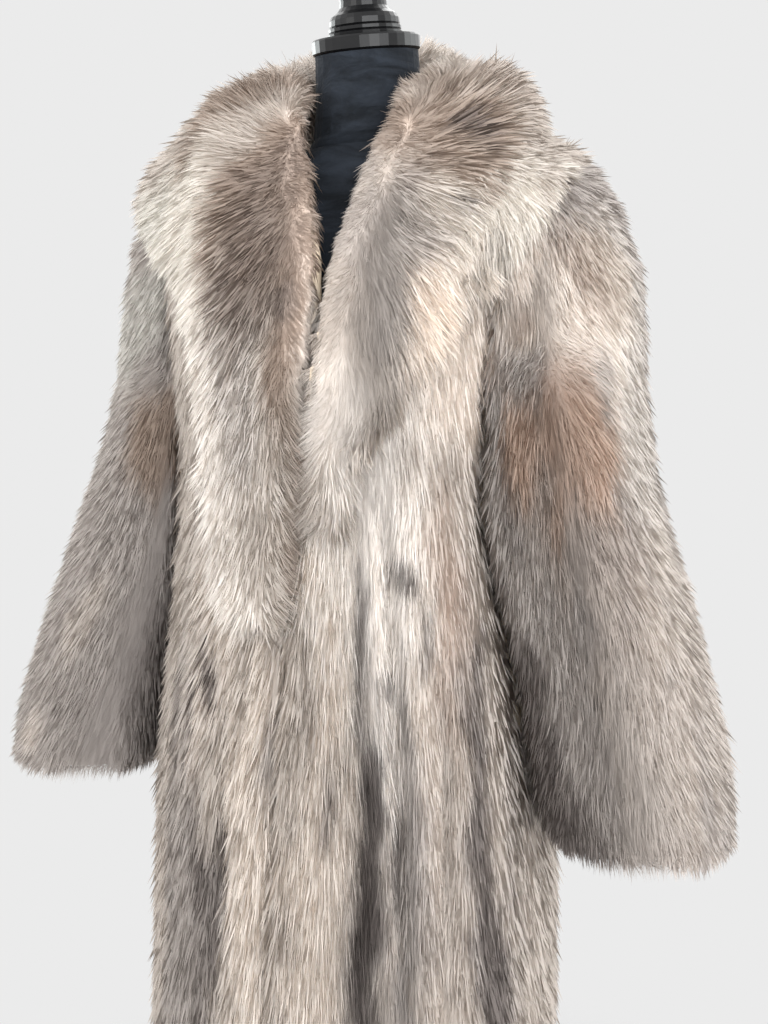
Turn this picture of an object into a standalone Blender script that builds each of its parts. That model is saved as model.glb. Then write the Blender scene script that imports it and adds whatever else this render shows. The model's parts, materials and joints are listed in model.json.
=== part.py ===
"""Long-haired fur coat with a shawl collar, worn by a limbless dress form on a round stand.

Metres, +Z up. The origin is the middle of the stand's underside, the coat faces -Y, and +X is the
wearer's left. A fur wall is as thick as pelt and hair together, and the coat is hollow inside it.
Angles round the coat start at the front middle and grow towards the wearer's left.
"""
import math
from collections import namedtuple

import bmesh
import bpy
from mathutils import Matrix, Vector

SEAM = 0.0003            # gap between two pieces that meet
FUR_WALL = 0.026         # body panels, pelt and hair together
SQUARENESS = 2.25        # 2 is an ellipse, more is squarer
HEM_Z = 0.250
YOKE_Z = 1.270           # rows of the panels lie closer together above this
NECKLINE_Z = 1.445
RIM_ROUNDING = 0.010     # how far the fur draws in at a hem or cuff
SIDE_SEAM = math.radians(90.0)
PANEL_COLUMNS = {"front_left": 12, "back": 20, "front_right": 11}

UNDERLAP_WIDTH = 0.080   # of the right front, under the left front
UNDERLAP_THICK = 0.005
UNDERLAP_GAP = 0.002
UNDERLAP_TOP_Z = 1.235
UNDERLAP_ROOT = 0.030    # overlap with the panel that carries it

SLEEVE_WALL = 0.024
SLEEVE_WALL_INSIDE = 0.012   # hair pressed flat beside the body
SLEEVE_CLEAR = 0.002
SLEEVE_SEGMENTS = 20
RINGS_PER_ROW = 2        # sleeve sections for each row of its table
ARMHOLE_RINGS = 7        # sections, from the top, that the armhole is cut by
ARMHOLE_RUN_IN = 0.055   # how far the armhole's cutter runs on into the body
SHOULDER_RINGS = 9       # sections, from the top, that the collar is cut by
ARMPIT_Z = 1.165
ARMPIT_BLEND = 0.050

COLLAR_LOOPS_PER_ROW = 3
COLLAR_SEGMENTS = 16
COLLAR_UNDER = 0.024     # how far the collar's underside lies beneath the line from roll to edge

NECK_LEAN = math.radians(15.0)
NECK_TOP = Vector((0.014, -0.024, 1.497))
CAP_RADIUS = 0.0500
POLE_RADIUS = 0.0160
BASE_RADIUS = 0.180
BASE_EDGE_Z = 0.018
FORM_SEGMENTS = 28
CAP_SEGMENTS = 36
FINIAL_SEGMENTS = 28
BASE_SEGMENTS = 48
POLE_SEGMENTS = 24
SHARP_FROM = math.radians(40.0)

# Outer reach of the coat from the middle of the stand: to the wearer's left (+X) and right (-X),
# to the front (-Y) and to the back (+Y).
CoatRing = namedtuple("CoatRing", "z left right front back")
COAT_RINGS = (
    CoatRing(0.250, 0.212, 0.232, 0.206, 0.206),
    CoatRing(0.450, 0.207, 0.226, 0.197, 0.195),
    CoatRing(0.650, 0.204, 0.221, 0.187, 0.181),
    CoatRing(0.850, 0.192, 0.205, 0.175, 0.166),
    CoatRing(1.000, 0.172, 0.186, 0.162, 0.148),
    CoatRing(1.100, 0.158, 0.176, 0.154, 0.136),
    CoatRing(1.200, 0.172, 0.180, 0.156, 0.133),
    CoatRing(1.280, 0.184, 0.186, 0.147, 0.130),
    CoatRing(1.340, 0.190, 0.190, 0.131, 0.124),
    CoatRing(1.380, 0.186, 0.184, 0.113, 0.114),
    CoatRing(1.410, 0.164, 0.160, 0.096, 0.102),
    CoatRing(1.430, 0.132, 0.124, 0.084, 0.094),
    CoatRing(1.445, 0.104, 0.092, 0.075, 0.087),
)

# Soft upright folds of the skirt: middle, half breadth and depth at the hem, and where each fades out.
Fold = namedtuple("Fold", "angle breadth depth top_z")
FOLDS = (
    Fold(14.0, 7.0, 0.009, 1.10),
    Fold(-36.0, 9.0, 0.008, 1.02),
    Fold(57.0, 10.0, 0.011, 0.98),
    Fold(-72.0, 9.0, 0.010, 0.90),
    Fold(112.0, 9.0, 0.010, 0.95),
    Fold(148.0, 8.0, 0.012, 1.05),
    Fold(176.0, 7.0, 0.007, 0.85),
    Fold(205.0, 9.0, 0.012, 1.00),
    Fold(241.0, 10.0, 0.010, 0.92),
)

# Front edges, as X at each height. Above the point of the V the two edges part.
FrontEdge = namedtuple("FrontEdge", "z left right")
FRONT_EDGES = (
    FrontEdge(0.250, -0.040, -0.040),
    FrontEdge(0.650, -0.035, -0.035),
    FrontEdge(0.970, -0.020, -0.020),
    FrontEdge(1.100, -0.007, -0.007),
    FrontEdge(1.200, 0.003, 0.003),
    FrontEdge(1.290, 0.015, 0.009),
    FrontEdge(1.340, 0.031, 0.001),
    FrontEdge(1.400, 0.047, -0.014),
    FrontEdge(1.445, 0.062, -0.030),
)

# Sleeve sections from inside the armhole to the cuff, for the wearer's left. Lean is the outward
# angle of the sleeve's run from straight down.
SleeveRing = namedtuple("SleeveRing", "x y z lean half_width half_depth")
SLEEVE_LEFT = (
    SleeveRing(0.090, 0.000, 1.325, 62.0, 0.092, 0.078),
    SleeveRing(0.144, -0.006, 1.312, 50.0, 0.110, 0.088),
    SleeveRing(0.178, -0.014, 1.264, 28.0, 0.100, 0.096),
    SleeveRing(0.193, -0.026, 1.190, 11.0, 0.087, 0.098),
    SleeveRing(0.205, -0.036, 1.110, 10.0, 0.085, 0.096),
    SleeveRing(0.225, -0.042, 1.030, 14.0, 0.088, 0.094),
    SleeveRing(0.250, -0.046, 0.950, 16.0, 0.089, 0.093),
    SleeveRing(0.270, -0.050, 0.870, 13.0, 0.090, 0.092),
    SleeveRing(0.281, -0.052, 0.810, 9.0, 0.089, 0.090),
    SleeveRing(0.284, -0.053, 0.785, 7.0, 0.087, 0.088),
)
SLEEVE_RIGHT = (
    SleeveRing(0.090, 0.000, 1.325, 62.0, 0.092, 0.078),
    SleeveRing(0.140, 0.004, 1.310, 50.0, 0.108, 0.086),
    SleeveRing(0.170, 0.012, 1.262, 28.0, 0.096, 0.092),
    SleeveRing(0.192, 0.020, 1.190, 15.0, 0.085, 0.092),
    SleeveRing(0.217, 0.022, 1.110, 16.0, 0.086, 0.092),
    SleeveRing(0.245, 0.018, 1.030, 18.0, 0.088, 0.092),
    SleeveRing(0.274, 0.010, 0.950, 18.0, 0.090, 0.092),
    SleeveRing(0.301, 0.002, 0.870, 16.0, 0.091, 0.091),
    SleeveRing(0.318, -0.004, 0.810, 11.0, 0.091, 0.090),
    SleeveRing(0.324, -0.006, 0.785, 8.0, 0.089, 0.088),
)

# Shawl collar sections from the foot of the lapel to the middle of the back, for the wearer's left:
# seam is the inner foot, roll the top of the fold, edge the outer rim, and swell the height of the
# hair over the straight line from roll to edge.
CollarRow = namedtuple("CollarRow", "seam roll edge swell")
COLLAR_LEFT = (
    CollarRow((0.000, -0.150, 1.076), (-0.001, -0.164, 1.080), (0.022, -0.160, 1.062), 0.005),
    CollarRow((0.008, -0.136, 1.190), (0.005, -0.178, 1.196), (0.066, -0.158, 1.178), 0.014),
    CollarRow((0.020, -0.118, 1.290), (0.020, -0.162, 1.300), (0.142, -0.126, 1.256), 0.024),
    CollarRow((0.044, -0.084, 1.370), (0.043, -0.114, 1.390), (0.206, -0.090, 1.322), 0.036),
    CollarRow((0.068, -0.040, 1.420), (0.067, -0.048, 1.466), (0.222, -0.030, 1.374), 0.034),
    CollarRow((0.080, 0.020, 1.425), (0.077, 0.022, 1.511), (0.212, 0.050, 1.370), 0.026),
    CollarRow((0.052, 0.070, 1.430), (0.046, 0.073, 1.536), (0.124, 0.122, 1.332), 0.028),
    CollarRow((0.000, 0.078, 1.430), (0.000, 0.086, 1.541), (0.000, 0.138, 1.322), 0.030),
)
COLLAR_RIGHT = (
    CollarRow((0.025, -0.150, 0.982), (0.024, -0.164, 0.986), (0.048, -0.159, 0.970), 0.005),
    CollarRow((0.013, -0.138, 1.060), (0.013, -0.168, 1.064), (0.088, -0.150, 1.045), 0.012),
    CollarRow((-0.002, -0.136, 1.180), (-0.002, -0.172, 1.186), (0.114, -0.144, 1.160), 0.018),
    CollarRow((-0.010, -0.118, 1.290), (-0.010, -0.158, 1.300), (0.150, -0.120, 1.262), 0.026),
    CollarRow((0.010, -0.084, 1.370), (0.009, -0.114, 1.390), (0.200, -0.085, 1.325), 0.034),
    CollarRow((0.036, -0.044, 1.420), (0.034, -0.052, 1.470), (0.220, -0.028, 1.378), 0.038),
    CollarRow((0.056, 0.020, 1.425), (0.052, 0.022, 1.521), (0.208, 0.050, 1.374), 0.034),
    CollarRow((0.046, 0.070, 1.430), (0.040, 0.073, 1.539), (0.124, 0.122, 1.332), 0.030),
    CollarRow((0.000, 0.078, 1.430), (0.000, 0.086, 1.541), (0.000, 0.138, 1.322), 0.030),
)

# Dress form: reach to each side, to the front and to the back, and where the ring's middle lies.
FormRing = namedtuple("FormRing", "z x side front back")
FORM_RINGS = (
    FormRing(0.750, 0.000, 0.136, 0.098, 0.100),
    FormRing(0.765, 0.000, 0.146, 0.108, 0.108),
    FormRing(0.850, 0.000, 0.152, 0.112, 0.118),
    FormRing(0.920, 0.000, 0.146, 0.107, 0.112),
    FormRing(1.000, 0.000, 0.128, 0.096, 0.096),
    FormRing(1.070, 0.000, 0.116, 0.090, 0.084),
    FormRing(1.140, 0.001, 0.126, 0.102, 0.088),
    FormRing(1.210, 0.002, 0.138, 0.110, 0.092),
    FormRing(1.280, 0.004, 0.146, 0.102, 0.092),
    FormRing(1.330, 0.006, 0.146, 0.090, 0.086),
    FormRing(1.360, 0.008, 0.134, 0.077, 0.078),
    FormRing(1.380, 0.010, 0.114, 0.066, 0.070),
    FormRing(1.397, 0.011, 0.088, 0.058, 0.062),
    FormRing(1.412, 0.012, 0.065, 0.053, 0.055),
)

# Turned profiles, as radius and height above the piece's own foot.
Turn = namedtuple("Turn", "radius height")
CAP_PROFILE = (
    Turn(0.0485, 0.0000),
    Turn(CAP_RADIUS, 0.0015),
    Turn(CAP_RADIUS, 0.0110),
    Turn(0.0490, 0.0125),
    Turn(0.0420, 0.0130),
)
FINIAL_PROFILE = (
    Turn(0.0340, 0.0000),
    Turn(0.0345, 0.0030),
    Turn(0.0328, 0.0040),
    Turn(0.0335, 0.0050),
    Turn(0.0335, 0.0075),
    Turn(0.0318, 0.0085),
    Turn(0.0325, 0.0095),
    Turn(0.0320, 0.0140),
    Turn(0.0300, 0.0175),
    Turn(0.0250, 0.0205),
    Turn(0.0220, 0.0240),
    Turn(0.0213, 0.0290),
    Turn(0.0225, 0.0350),
    Turn(0.0262, 0.0420),
    Turn(0.0305, 0.0520),
    Turn(0.0310, 0.0620),
    Turn(0.0270, 0.0740),
    Turn(0.0160, 0.0840),
    Turn(0.0110, 0.0880),
    Turn(0.0130, 0.0940),
    Turn(0.0125, 0.1000),
    Turn(0.0070, 0.1050),
)
FLANGE_PROFILE = (
    Turn(0.0240, 0.0000),
    Turn(0.0240, 0.0300),
    Turn(0.0200, 0.0340),
)
BASE_PROFILE = (
    Turn(0.1760, 0.0000),
    Turn(BASE_RADIUS, 0.0040),
    Turn(BASE_RADIUS, 0.0120),
    Turn(0.1740, BASE_EDGE_Z),
    Turn(0.0900, 0.0240),
    Turn(0.0400, 0.0290),
)

Finish = namedtuple("Finish", "colour roughness metallic")
FUR_CREAM = Finish((0.58, 0.49, 0.40), 0.90, 0.0)
FUR_TAUPE = Finish((0.36, 0.29, 0.23), 0.90, 0.0)
BLACK_VELVET = Finish((0.025, 0.028, 0.034), 0.85, 0.0)
BLACK_LACQUER = Finish((0.010, 0.010, 0.011), 0.15, 0.0)
BLACK_METAL = Finish((0.020, 0.020, 0.021), 0.40, 0.6)


def clear_scene():
    for obj in list(bpy.data.objects):
        bpy.data.objects.remove(obj, do_unlink=True)


def material(name, finish):
    made = bpy.data.materials.get(name)
    if made is None:
        made = bpy.data.materials.new(name)
        made.use_nodes = True
        shader = made.node_tree.nodes["Principled BSDF"]
        shader.inputs["Base Color"].default_value = (*finish.colour, 1.0)
        shader.inputs["Roughness"].default_value = finish.roughness
        shader.inputs["Metallic"].default_value = finish.metallic
        made.diffuse_color = (*finish.colour, 1.0)
    return made


def add_object(name, mesh_data, finish_name=None, finish=None):
    """Link a bmesh as an object. Without a finish it is a cutter or a guide."""
    mesh = bpy.data.meshes.new(name)
    mesh_data.to_mesh(mesh)
    mesh_data.free()
    mesh.shade_smooth()
    obj = bpy.data.objects.new(name, mesh)
    bpy.context.collection.objects.link(obj)
    if finish is None:
        obj.hide_render = True
        obj.display_type = "WIRE"
    else:
        mesh.materials.append(material(finish_name, finish))
        mesh.set_sharp_from_angle(angle=SHARP_FROM)
    return obj


def combine(obj, other, operation):
    modifier = obj.modifiers.new(f"{operation.lower()} {other.name}", "BOOLEAN")
    modifier.object = other
    modifier.operation = operation
    modifier.solver = "EXACT"


def ease(value, low, high):
    """0 below low, 1 above high, smooth between; low may be the greater."""
    share = min(1.0, max(0.0, (value - low) / (high - low)))
    return share * share * (3.0 - 2.0 * share)


def hermite(before, after, slope_before, slope_after, share):
    squared = share * share
    cubed = squared * share
    return (before * (2.0 * cubed - 3.0 * squared + 1.0) + after * (3.0 * squared - 2.0 * cubed)
            + slope_before * (cubed - 2.0 * squared + share) + slope_after * (cubed - squared))


def smooth_rows(keys, rows, key):
    """One smooth row between the rows of a table, at a key between its rising keys."""
    last = len(keys) - 1
    key = min(max(key, keys[0]), keys[last])
    low = max(i for i in range(last) if keys[i] <= key or i == 0)
    span = keys[low + 1] - keys[low]
    share = (key - keys[low]) / span

    def slope(i, column):
        first, second = max(i - 1, 0), min(i + 1, last)
        return (rows[second][column] - rows[first][column]) / (keys[second] - keys[first]) * span

    return [hermite(rows[low][c], rows[low + 1][c], slope(low, c), slope(low + 1, c), share)
            for c in range(len(rows[low]))]


def at_height(table, z):
    """Smooth row of a table whose first column is Z and rises."""
    keys = [row.z for row in table]
    return type(table[0])(z, *smooth_rows(keys, [row[1:] for row in table], z))


def fold_depth(angle, z):
    """How far the folds draw the coat in, at an angle in radians and a height."""
    depth = 0.0
    for fold in FOLDS:
        away = (math.degrees(angle) - fold.angle + 180.0) % 360.0 - 180.0
        depth += fold.depth * math.exp(-(away / fold.breadth) ** 2) * ease(z, fold.top_z, HEM_Z)
    return depth


def signed_power(value, power):
    return math.copysign(abs(value) ** power, value)


def coat_surface(angle, z):
    """Point of the coat's outer face."""
    ring = at_height(COAT_RINGS, z)
    across, ahead = math.sin(angle), math.cos(angle)
    x = (ring.left if across >= 0.0 else ring.right) * signed_power(across, 2.0 / SQUARENESS)
    y = -(ring.front if ahead >= 0.0 else ring.back) * signed_power(ahead, 2.0 / SQUARENESS)
    drawn_in = 1.0 - fold_depth(angle, z) / math.hypot(x, y)
    return Vector((x * drawn_in, y * drawn_in, z))


def coat_point(angle, z, out):
    """Point a given distance outside the coat's outer face, or inside it where out is negative."""
    turn, rise = 0.03, 0.006
    round_way = coat_surface(angle + turn, z) - coat_surface(angle - turn, z)
    up_way = coat_surface(angle, min(z + rise, NECKLINE_Z)) - coat_surface(angle, max(z - rise, HEM_Z))
    return coat_surface(angle, z) + round_way.cross(up_way).normalized() * out


def angle_at(x, z):
    """Angle, on the front half, at which the coat's outer face has the given X."""
    low, high = -SIDE_SEAM, SIDE_SEAM
    for _ in range(24):
        middle = (low + high) / 2.0
        if coat_surface(middle, z).x < x:
            low = middle
        else:
            high = middle
    return (low + high) / 2.0


def panel_heights():
    """Heights of a panel's rows: the rounded hem, even rows, and closer ones over the shoulder."""
    low_rows, yoke_rows = 15, 8
    heights = [HEM_Z, HEM_Z + RIM_ROUNDING]
    heights += [HEM_Z + (YOKE_Z - HEM_Z) * i / low_rows for i in range(1, low_rows)]
    heights += [YOKE_Z + (NECKLINE_Z - YOKE_Z) * math.sin(math.pi / 2.0 * i / yoke_rows)
                for i in range(yoke_rows + 1)]
    return heights


def rim_draw(z):
    """How far the outer face draws in at the hem."""
    return RIM_ROUNDING * (1.0 - ease(z, HEM_Z, HEM_Z + RIM_ROUNDING))


def add_quad(mesh_data, a, b, c, d):
    """Two triangles that share the line from a to c, so that parallel faces fold alike."""
    mesh_data.faces.new((a, b, c))
    mesh_data.faces.new((a, c, d))


def closed_shell(outer, inner, wrap):
    """Closed wall between two equal grids of points. With wrap, each row is a closed ring."""
    shell = bmesh.new()
    outside = [[shell.verts.new(point) for point in row] for row in outer]
    inside = [[shell.verts.new(point) for point in row] for row in inner]
    rows, columns = len(outer), len(outer[0])
    spans = columns if wrap else columns - 1
    for i in range(rows - 1):
        for j in range(spans):
            k = (j + 1) % columns
            add_quad(shell, outside[i][j], outside[i][k], outside[i + 1][k], outside[i + 1][j])
            add_quad(shell, inside[i][j], inside[i][k], inside[i + 1][k], inside[i + 1][j])
    for j in range(spans):
        k = (j + 1) % columns
        add_quad(shell, inside[0][j], inside[0][k], outside[0][k], outside[0][j])
        add_quad(shell, outside[-1][j], outside[-1][k], inside[-1][k], inside[-1][j])
    if not wrap:
        for i in range(rows - 1):
            add_quad(shell, outside[i][0], outside[i + 1][0], inside[i + 1][0], inside[i][0])
            add_quad(shell, outside[i][-1], inside[i][-1], inside[i + 1][-1], outside[i + 1][-1])
    bmesh.ops.recalc_face_normals(shell, faces=shell.faces)
    return shell


def capped_loft(rings):
    """Closed solid through rings of points, with a fan at each end."""
    solid = bmesh.new()
    loops = [[solid.verts.new(point) for point in ring] for ring in rings]
    count = len(rings[0])
    for low, high in zip(loops, loops[1:]):
        for j in range(count):
            k = (j + 1) % count
            add_quad(solid, low[j], low[k], high[k], high[j])
    for loop, ring in ((loops[0], rings[0]), (loops[-1], rings[-1])):
        middle = solid.verts.new(sum(ring, Vector()) / count)
        for j in range(count):
            solid.faces.new((loop[j], loop[(j + 1) % count], middle))
    bmesh.ops.recalc_face_normals(solid, faces=solid.faces)
    return solid


def turned(profile, segments):
    """Closed solid turned about Z from a profile that runs from its foot to its top."""
    rings = []
    for turn in profile:
        rings.append([Vector((turn.radius * math.cos(math.tau * j / segments),
                              turn.radius * math.sin(math.tau * j / segments), turn.height))
                      for j in range(segments)])
    return capped_loft(rings)


def front_edge(z, side):
    """Angle of a front panel's free edge: side is 1 for the wearer's left front, -1 for the right."""
    edge = at_height(FRONT_EDGES, z)
    return angle_at((edge.left if side > 0.0 else edge.right) + side * SEAM / 2.0, z)


def panel_angles(name, z):
    """Angles of a panel's columns at a height, from one seam to the next."""
    turn = SEAM / 2.0 / at_height(COAT_RINGS, z).front
    first, last = {
        "front_left": (front_edge(z, 1.0), SIDE_SEAM - turn),
        "back": (SIDE_SEAM + turn, math.tau - SIDE_SEAM - turn),
        "front_right": (turn - SIDE_SEAM, front_edge(z, -1.0)),
    }[name]
    spans = PANEL_COLUMNS[name] - 1
    return [first + (last - first) * j / spans for j in range(spans + 1)]


def panel(name, finish_name, finish):
    """Wall of one panel of the coat."""
    outer, inner = [], []
    for z in panel_heights():
        angles = panel_angles(name, z)
        outer.append([coat_point(angle, z, -rim_draw(z)) for angle in angles])
        inner.append([coat_point(angle, z, -FUR_WALL) for angle in angles])
    return add_object(name, closed_shell(outer, inner, wrap=False), finish_name, finish)


def underlap():
    """Thin edge of the right front that runs on beneath the left front."""
    heights = [z for z in panel_heights() if z < UNDERLAP_TOP_Z] + [UNDERLAP_TOP_Z]
    deep = FUR_WALL + UNDERLAP_GAP
    # Distance past the front's edge, and how deep the flap's outer face lies there.
    columns = ((-UNDERLAP_ROOT, deep - 0.010), (-0.012, deep - 0.006), (-0.001, deep),
               (UNDERLAP_WIDTH / 2.0, deep), (UNDERLAP_WIDTH, deep))
    outer, inner = [], []
    for z in heights:
        reach = at_height(COAT_RINGS, z).front
        angles = [front_edge(z, -1.0) + past / reach for past, _ in columns]
        depths = [depth for _, depth in columns]
        outer.append([coat_point(angle, z, -depth) for angle, depth in zip(angles, depths)])
        inner.append([coat_point(angle, z, -depth - UNDERLAP_THICK)
                      for angle, depth in zip(angles, depths)])
    return add_object("guide_underlap", closed_shell(outer, inner, wrap=False))


def coat_filled(name, out):
    """Filled outer form of the coat, a given distance larger: what sleeves and collar are cut by."""
    rings = []
    for z in panel_heights()[1:]:
        angles = [angle for panel_name in PANEL_COLUMNS for angle in panel_angles(panel_name, z)]
        rings.append([coat_point(angle, z, out) for angle in angles])
    rings.insert(0, [point - Vector((0.0, 0.0, RIM_ROUNDING)) for point in rings[0]])
    rings.append([point + Vector((0.0, 0.0, out)) for point in rings[-1]])
    return add_object(name, capped_loft(rings))


def beside_coat(point, gap):
    """The point moved out until it lies a gap outside the coat's rings, if it is nearer."""
    ring = at_height(COAT_RINGS, point.z)
    half_width = (ring.left if point.x >= 0.0 else ring.right) + gap
    reach = (ring.front if point.y < 0.0 else ring.back) + gap
    inside = (abs(point.x) / half_width) ** SQUARENESS + (abs(point.y) / reach) ** SQUARENESS
    if inside >= 1.0:
        return point
    stretch = inside ** (-1.0 / SQUARENESS)
    return Vector((point.x * stretch, point.y * stretch, point.z))


def sleeve_ring(ring, side, inset):
    """Points of one sleeve section. Inset is 0 for the outer face and 1 for the inner face."""
    lean = math.radians(ring.lean)
    outward = Vector((side * math.cos(lean), 0.0, math.sin(lean)))
    points = []
    for j in range(SLEEVE_SEGMENTS):
        turn = math.tau * j / SLEEVE_SEGMENTS
        facing_body = ease(-math.cos(turn), 0.2, 0.9)
        wall = inset * (SLEEVE_WALL + (SLEEVE_WALL_INSIDE - SLEEVE_WALL) * facing_body)
        centre = Vector((side * ring.x, ring.y, ring.z))
        point = (centre + outward * (ring.half_width - wall) * math.cos(turn)
                 + Vector((0.0, 1.0, 0.0)) * (ring.half_depth - wall) * math.sin(turn))
        moved = beside_coat(point, SLEEVE_CLEAR + inset * SLEEVE_WALL_INSIDE)
        below = ease(point.z, ARMPIT_Z + ARMPIT_BLEND, ARMPIT_Z)
        points.append(point.lerp(moved, below))
    return points


def sleeve_rings(table):
    """Sections of a sleeve, with smooth ones between the rows of its table."""
    keys = list(range(len(table)))
    count = (len(table) - 1) * RINGS_PER_ROW
    return [SleeveRing(*smooth_rows(keys, table, i / RINGS_PER_ROW)) for i in range(count + 1)]


def sleeve(name, table, side, finish):
    """One sleeve, open at the cuff, cut where it meets the coat's body."""
    rings = sleeve_rings(table)
    cuff = rings[-1]
    rim = cuff._replace(half_width=cuff.half_width - RIM_ROUNDING,
                        half_depth=cuff.half_depth - RIM_ROUNDING)
    outer = [sleeve_ring(ring, side, 0.0) for ring in rings]
    inner = [sleeve_ring(ring, side, 1.0) for ring in rings]
    drop = Vector((side * math.sin(math.radians(cuff.lean)), 0.0,
                   -math.cos(math.radians(cuff.lean)))) * RIM_ROUNDING
    outer.append([point + drop for point in sleeve_ring(rim, side, 0.0)])
    inner.append([point + drop for point in inner[-1]])
    return add_object(name, closed_shell(outer, inner, wrap=True), "fur_taupe", finish)


def armhole(name, table, side):
    """Filled hollow of a sleeve's top, run on into the body, which cuts the armhole."""
    loops = [sleeve_ring(ring, side, 1.0) for ring in sleeve_rings(table)[:ARMHOLE_RINGS]]
    inward = Vector((-side * ARMHOLE_RUN_IN, 0.0, 0.010))
    loops.insert(0, [point + inward for point in loops[0]])
    return add_object(name, capped_loft(loops))


def sleeve_filled(name, table, side, out):
    """Filled outer form of a sleeve, a given distance larger: what the collar is cut by."""
    rings = [ring._replace(half_width=ring.half_width + out, half_depth=ring.half_depth + out)
             for ring in sleeve_rings(table)[:SHOULDER_RINGS]]
    return add_object(name, capped_loft([sleeve_ring(ring, side, 0.0) for ring in rings]))


def collar_section(row, side):
    """Closed loop of one collar section: up from the seam, over the roll, out to the edge, back."""
    seam, roll, edge = (Vector((side * p[0], p[1], p[2])) for p in row[:3])
    swell = row[3]
    run = edge - roll
    facing = Vector((0.6 * (roll.x + edge.x), roll.y + edge.y, 0.0)).normalized() + Vector((0.0, 0.0, 0.8))
    rise = facing - run * (facing.dot(run) / run.length_squared)
    rise.normalize()
    deep = min(COLLAR_UNDER, 0.006 + 0.25 * run.length)
    control = [
        seam,
        seam.lerp(roll, 0.60),
        roll,
        roll + run * 0.16 + rise * swell * 0.72,
        roll + run * 0.42 + rise * swell,
        roll + run * 0.74 + rise * swell * 0.80,
        edge + rise * swell * 0.30,
        edge - rise * deep * 0.4,
        roll.lerp(edge, 0.5) - rise * deep,
    ]
    count = len(control)
    loop = []
    for j in range(COLLAR_SEGMENTS):
        place = j * count / COLLAR_SEGMENTS
        i, share = int(place), place - int(place)
        before, start, end, after = (control[(i + k) % count] for k in (-1, 0, 1, 2))
        loop.append(hermite(start, end, (end - before) / 2.0, (after - start) / 2.0, share))
    return loop


def collar(name, table, side, finish):
    """Half of the shawl collar, from the foot of its lapel to the seam at the middle of the back."""
    keys = list(range(len(table)))
    flat = [(*row.seam, *row.roll, *row.edge, row.swell) for row in table]
    loops = []
    for i in range((len(table) - 1) * COLLAR_LOOPS_PER_ROW + 1):
        numbers = smooth_rows(keys, flat, i / COLLAR_LOOPS_PER_ROW)
        row = CollarRow(numbers[0:3], numbers[3:6], numbers[6:9], numbers[9])
        loops.append(collar_section(row, side))
    for point in loops[-1]:
        point.x = side * SEAM / 2.0
    return add_object(name, capped_loft(loops), "fur_cream", finish)


def coat_body():
    """Back and two fronts, cut by the armholes."""
    back = panel("back", "fur_taupe", FUR_TAUPE)
    front_left = panel("front_left", "fur_cream", FUR_CREAM)
    front_right = panel("front_right", "fur_cream", FUR_CREAM)
    combine(front_right, underlap(), "UNION")
    for side, table, front in ((1.0, SLEEVE_LEFT, front_left), (-1.0, SLEEVE_RIGHT, front_right)):
        hole = armhole(f"cutter_armhole_{front.name}", table, side)
        combine(front, hole, "DIFFERENCE")
        combine(back, hole, "DIFFERENCE")


def coat_sleeves_and_collar():
    """Sleeves cut by the body they are sewn to, and the collar cut by what it lies on."""
    body = coat_filled("cutter_coat", SEAM)
    halves = (("left", 1.0, SLEEVE_LEFT, COLLAR_LEFT), ("right", -1.0, SLEEVE_RIGHT, COLLAR_RIGHT))
    for word, side, sleeve_table, collar_table in halves:
        combine(sleeve(f"sleeve_{word}", sleeve_table, side, FUR_TAUPE), body, "DIFFERENCE")
        half_collar = collar(f"collar_{word}", collar_table, side, FUR_CREAM)
        combine(half_collar, body, "DIFFERENCE")
        combine(half_collar, sleeve_filled(f"cutter_sleeve_{word}", sleeve_table, side, SEAM),
                "DIFFERENCE")


def form_torso():
    """Torso of the dress form with its neck, which leans forward, in one solid."""
    rings = []
    for ring in FORM_RINGS:
        points = []
        for j in range(FORM_SEGMENTS):
            across = math.sin(math.tau * j / FORM_SEGMENTS)
            ahead = math.cos(math.tau * j / FORM_SEGMENTS)
            reach = ring.front if ahead >= 0.0 else ring.back
            points.append(Vector((ring.x + ring.side * signed_power(across, 2.0 / SQUARENESS),
                                  -reach * signed_power(ahead, 2.0 / SQUARENESS), ring.z)))
        rings.append(points)
    foot = Vector((FORM_RINGS[-1].x, -0.002, FORM_RINGS[-1].z + 0.012))
    for share, radius in ((0.0, 0.0555), (0.35, 0.0515), (0.75, 0.0490), (1.0, 0.0480)):
        middle = foot.lerp(NECK_TOP, share)
        turn = Matrix.Rotation(NECK_LEAN * ease(share, -0.4, 1.0), 3, "X")
        rings.append([middle + turn @ Vector((radius * math.sin(math.tau * j / FORM_SEGMENTS),
                                              -radius * math.cos(math.tau * j / FORM_SEGMENTS), 0.0))
                      for j in range(FORM_SEGMENTS)])
    return add_object("form_torso", capped_loft(rings), "black_velvet", BLACK_VELVET)


def neck_fittings():
    """Turned cap on the neck and the finial on the cap, both square to the leaning neck."""
    axis = Matrix.Rotation(NECK_LEAN, 3, "X") @ Vector((0.0, 0.0, 1.0))
    pieces = (("neck_cap", CAP_PROFILE, SEAM, CAP_SEGMENTS),
              ("finial", FINIAL_PROFILE, CAP_PROFILE[-1].height + 2.0 * SEAM, FINIAL_SEGMENTS))
    for name, profile, rise, segments in pieces:
        piece = add_object(name, turned(profile, segments), "black_lacquer", BLACK_LACQUER)
        piece.location = NECK_TOP + axis * rise
        piece.rotation_euler = (NECK_LEAN, 0.0, 0.0)


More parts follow.
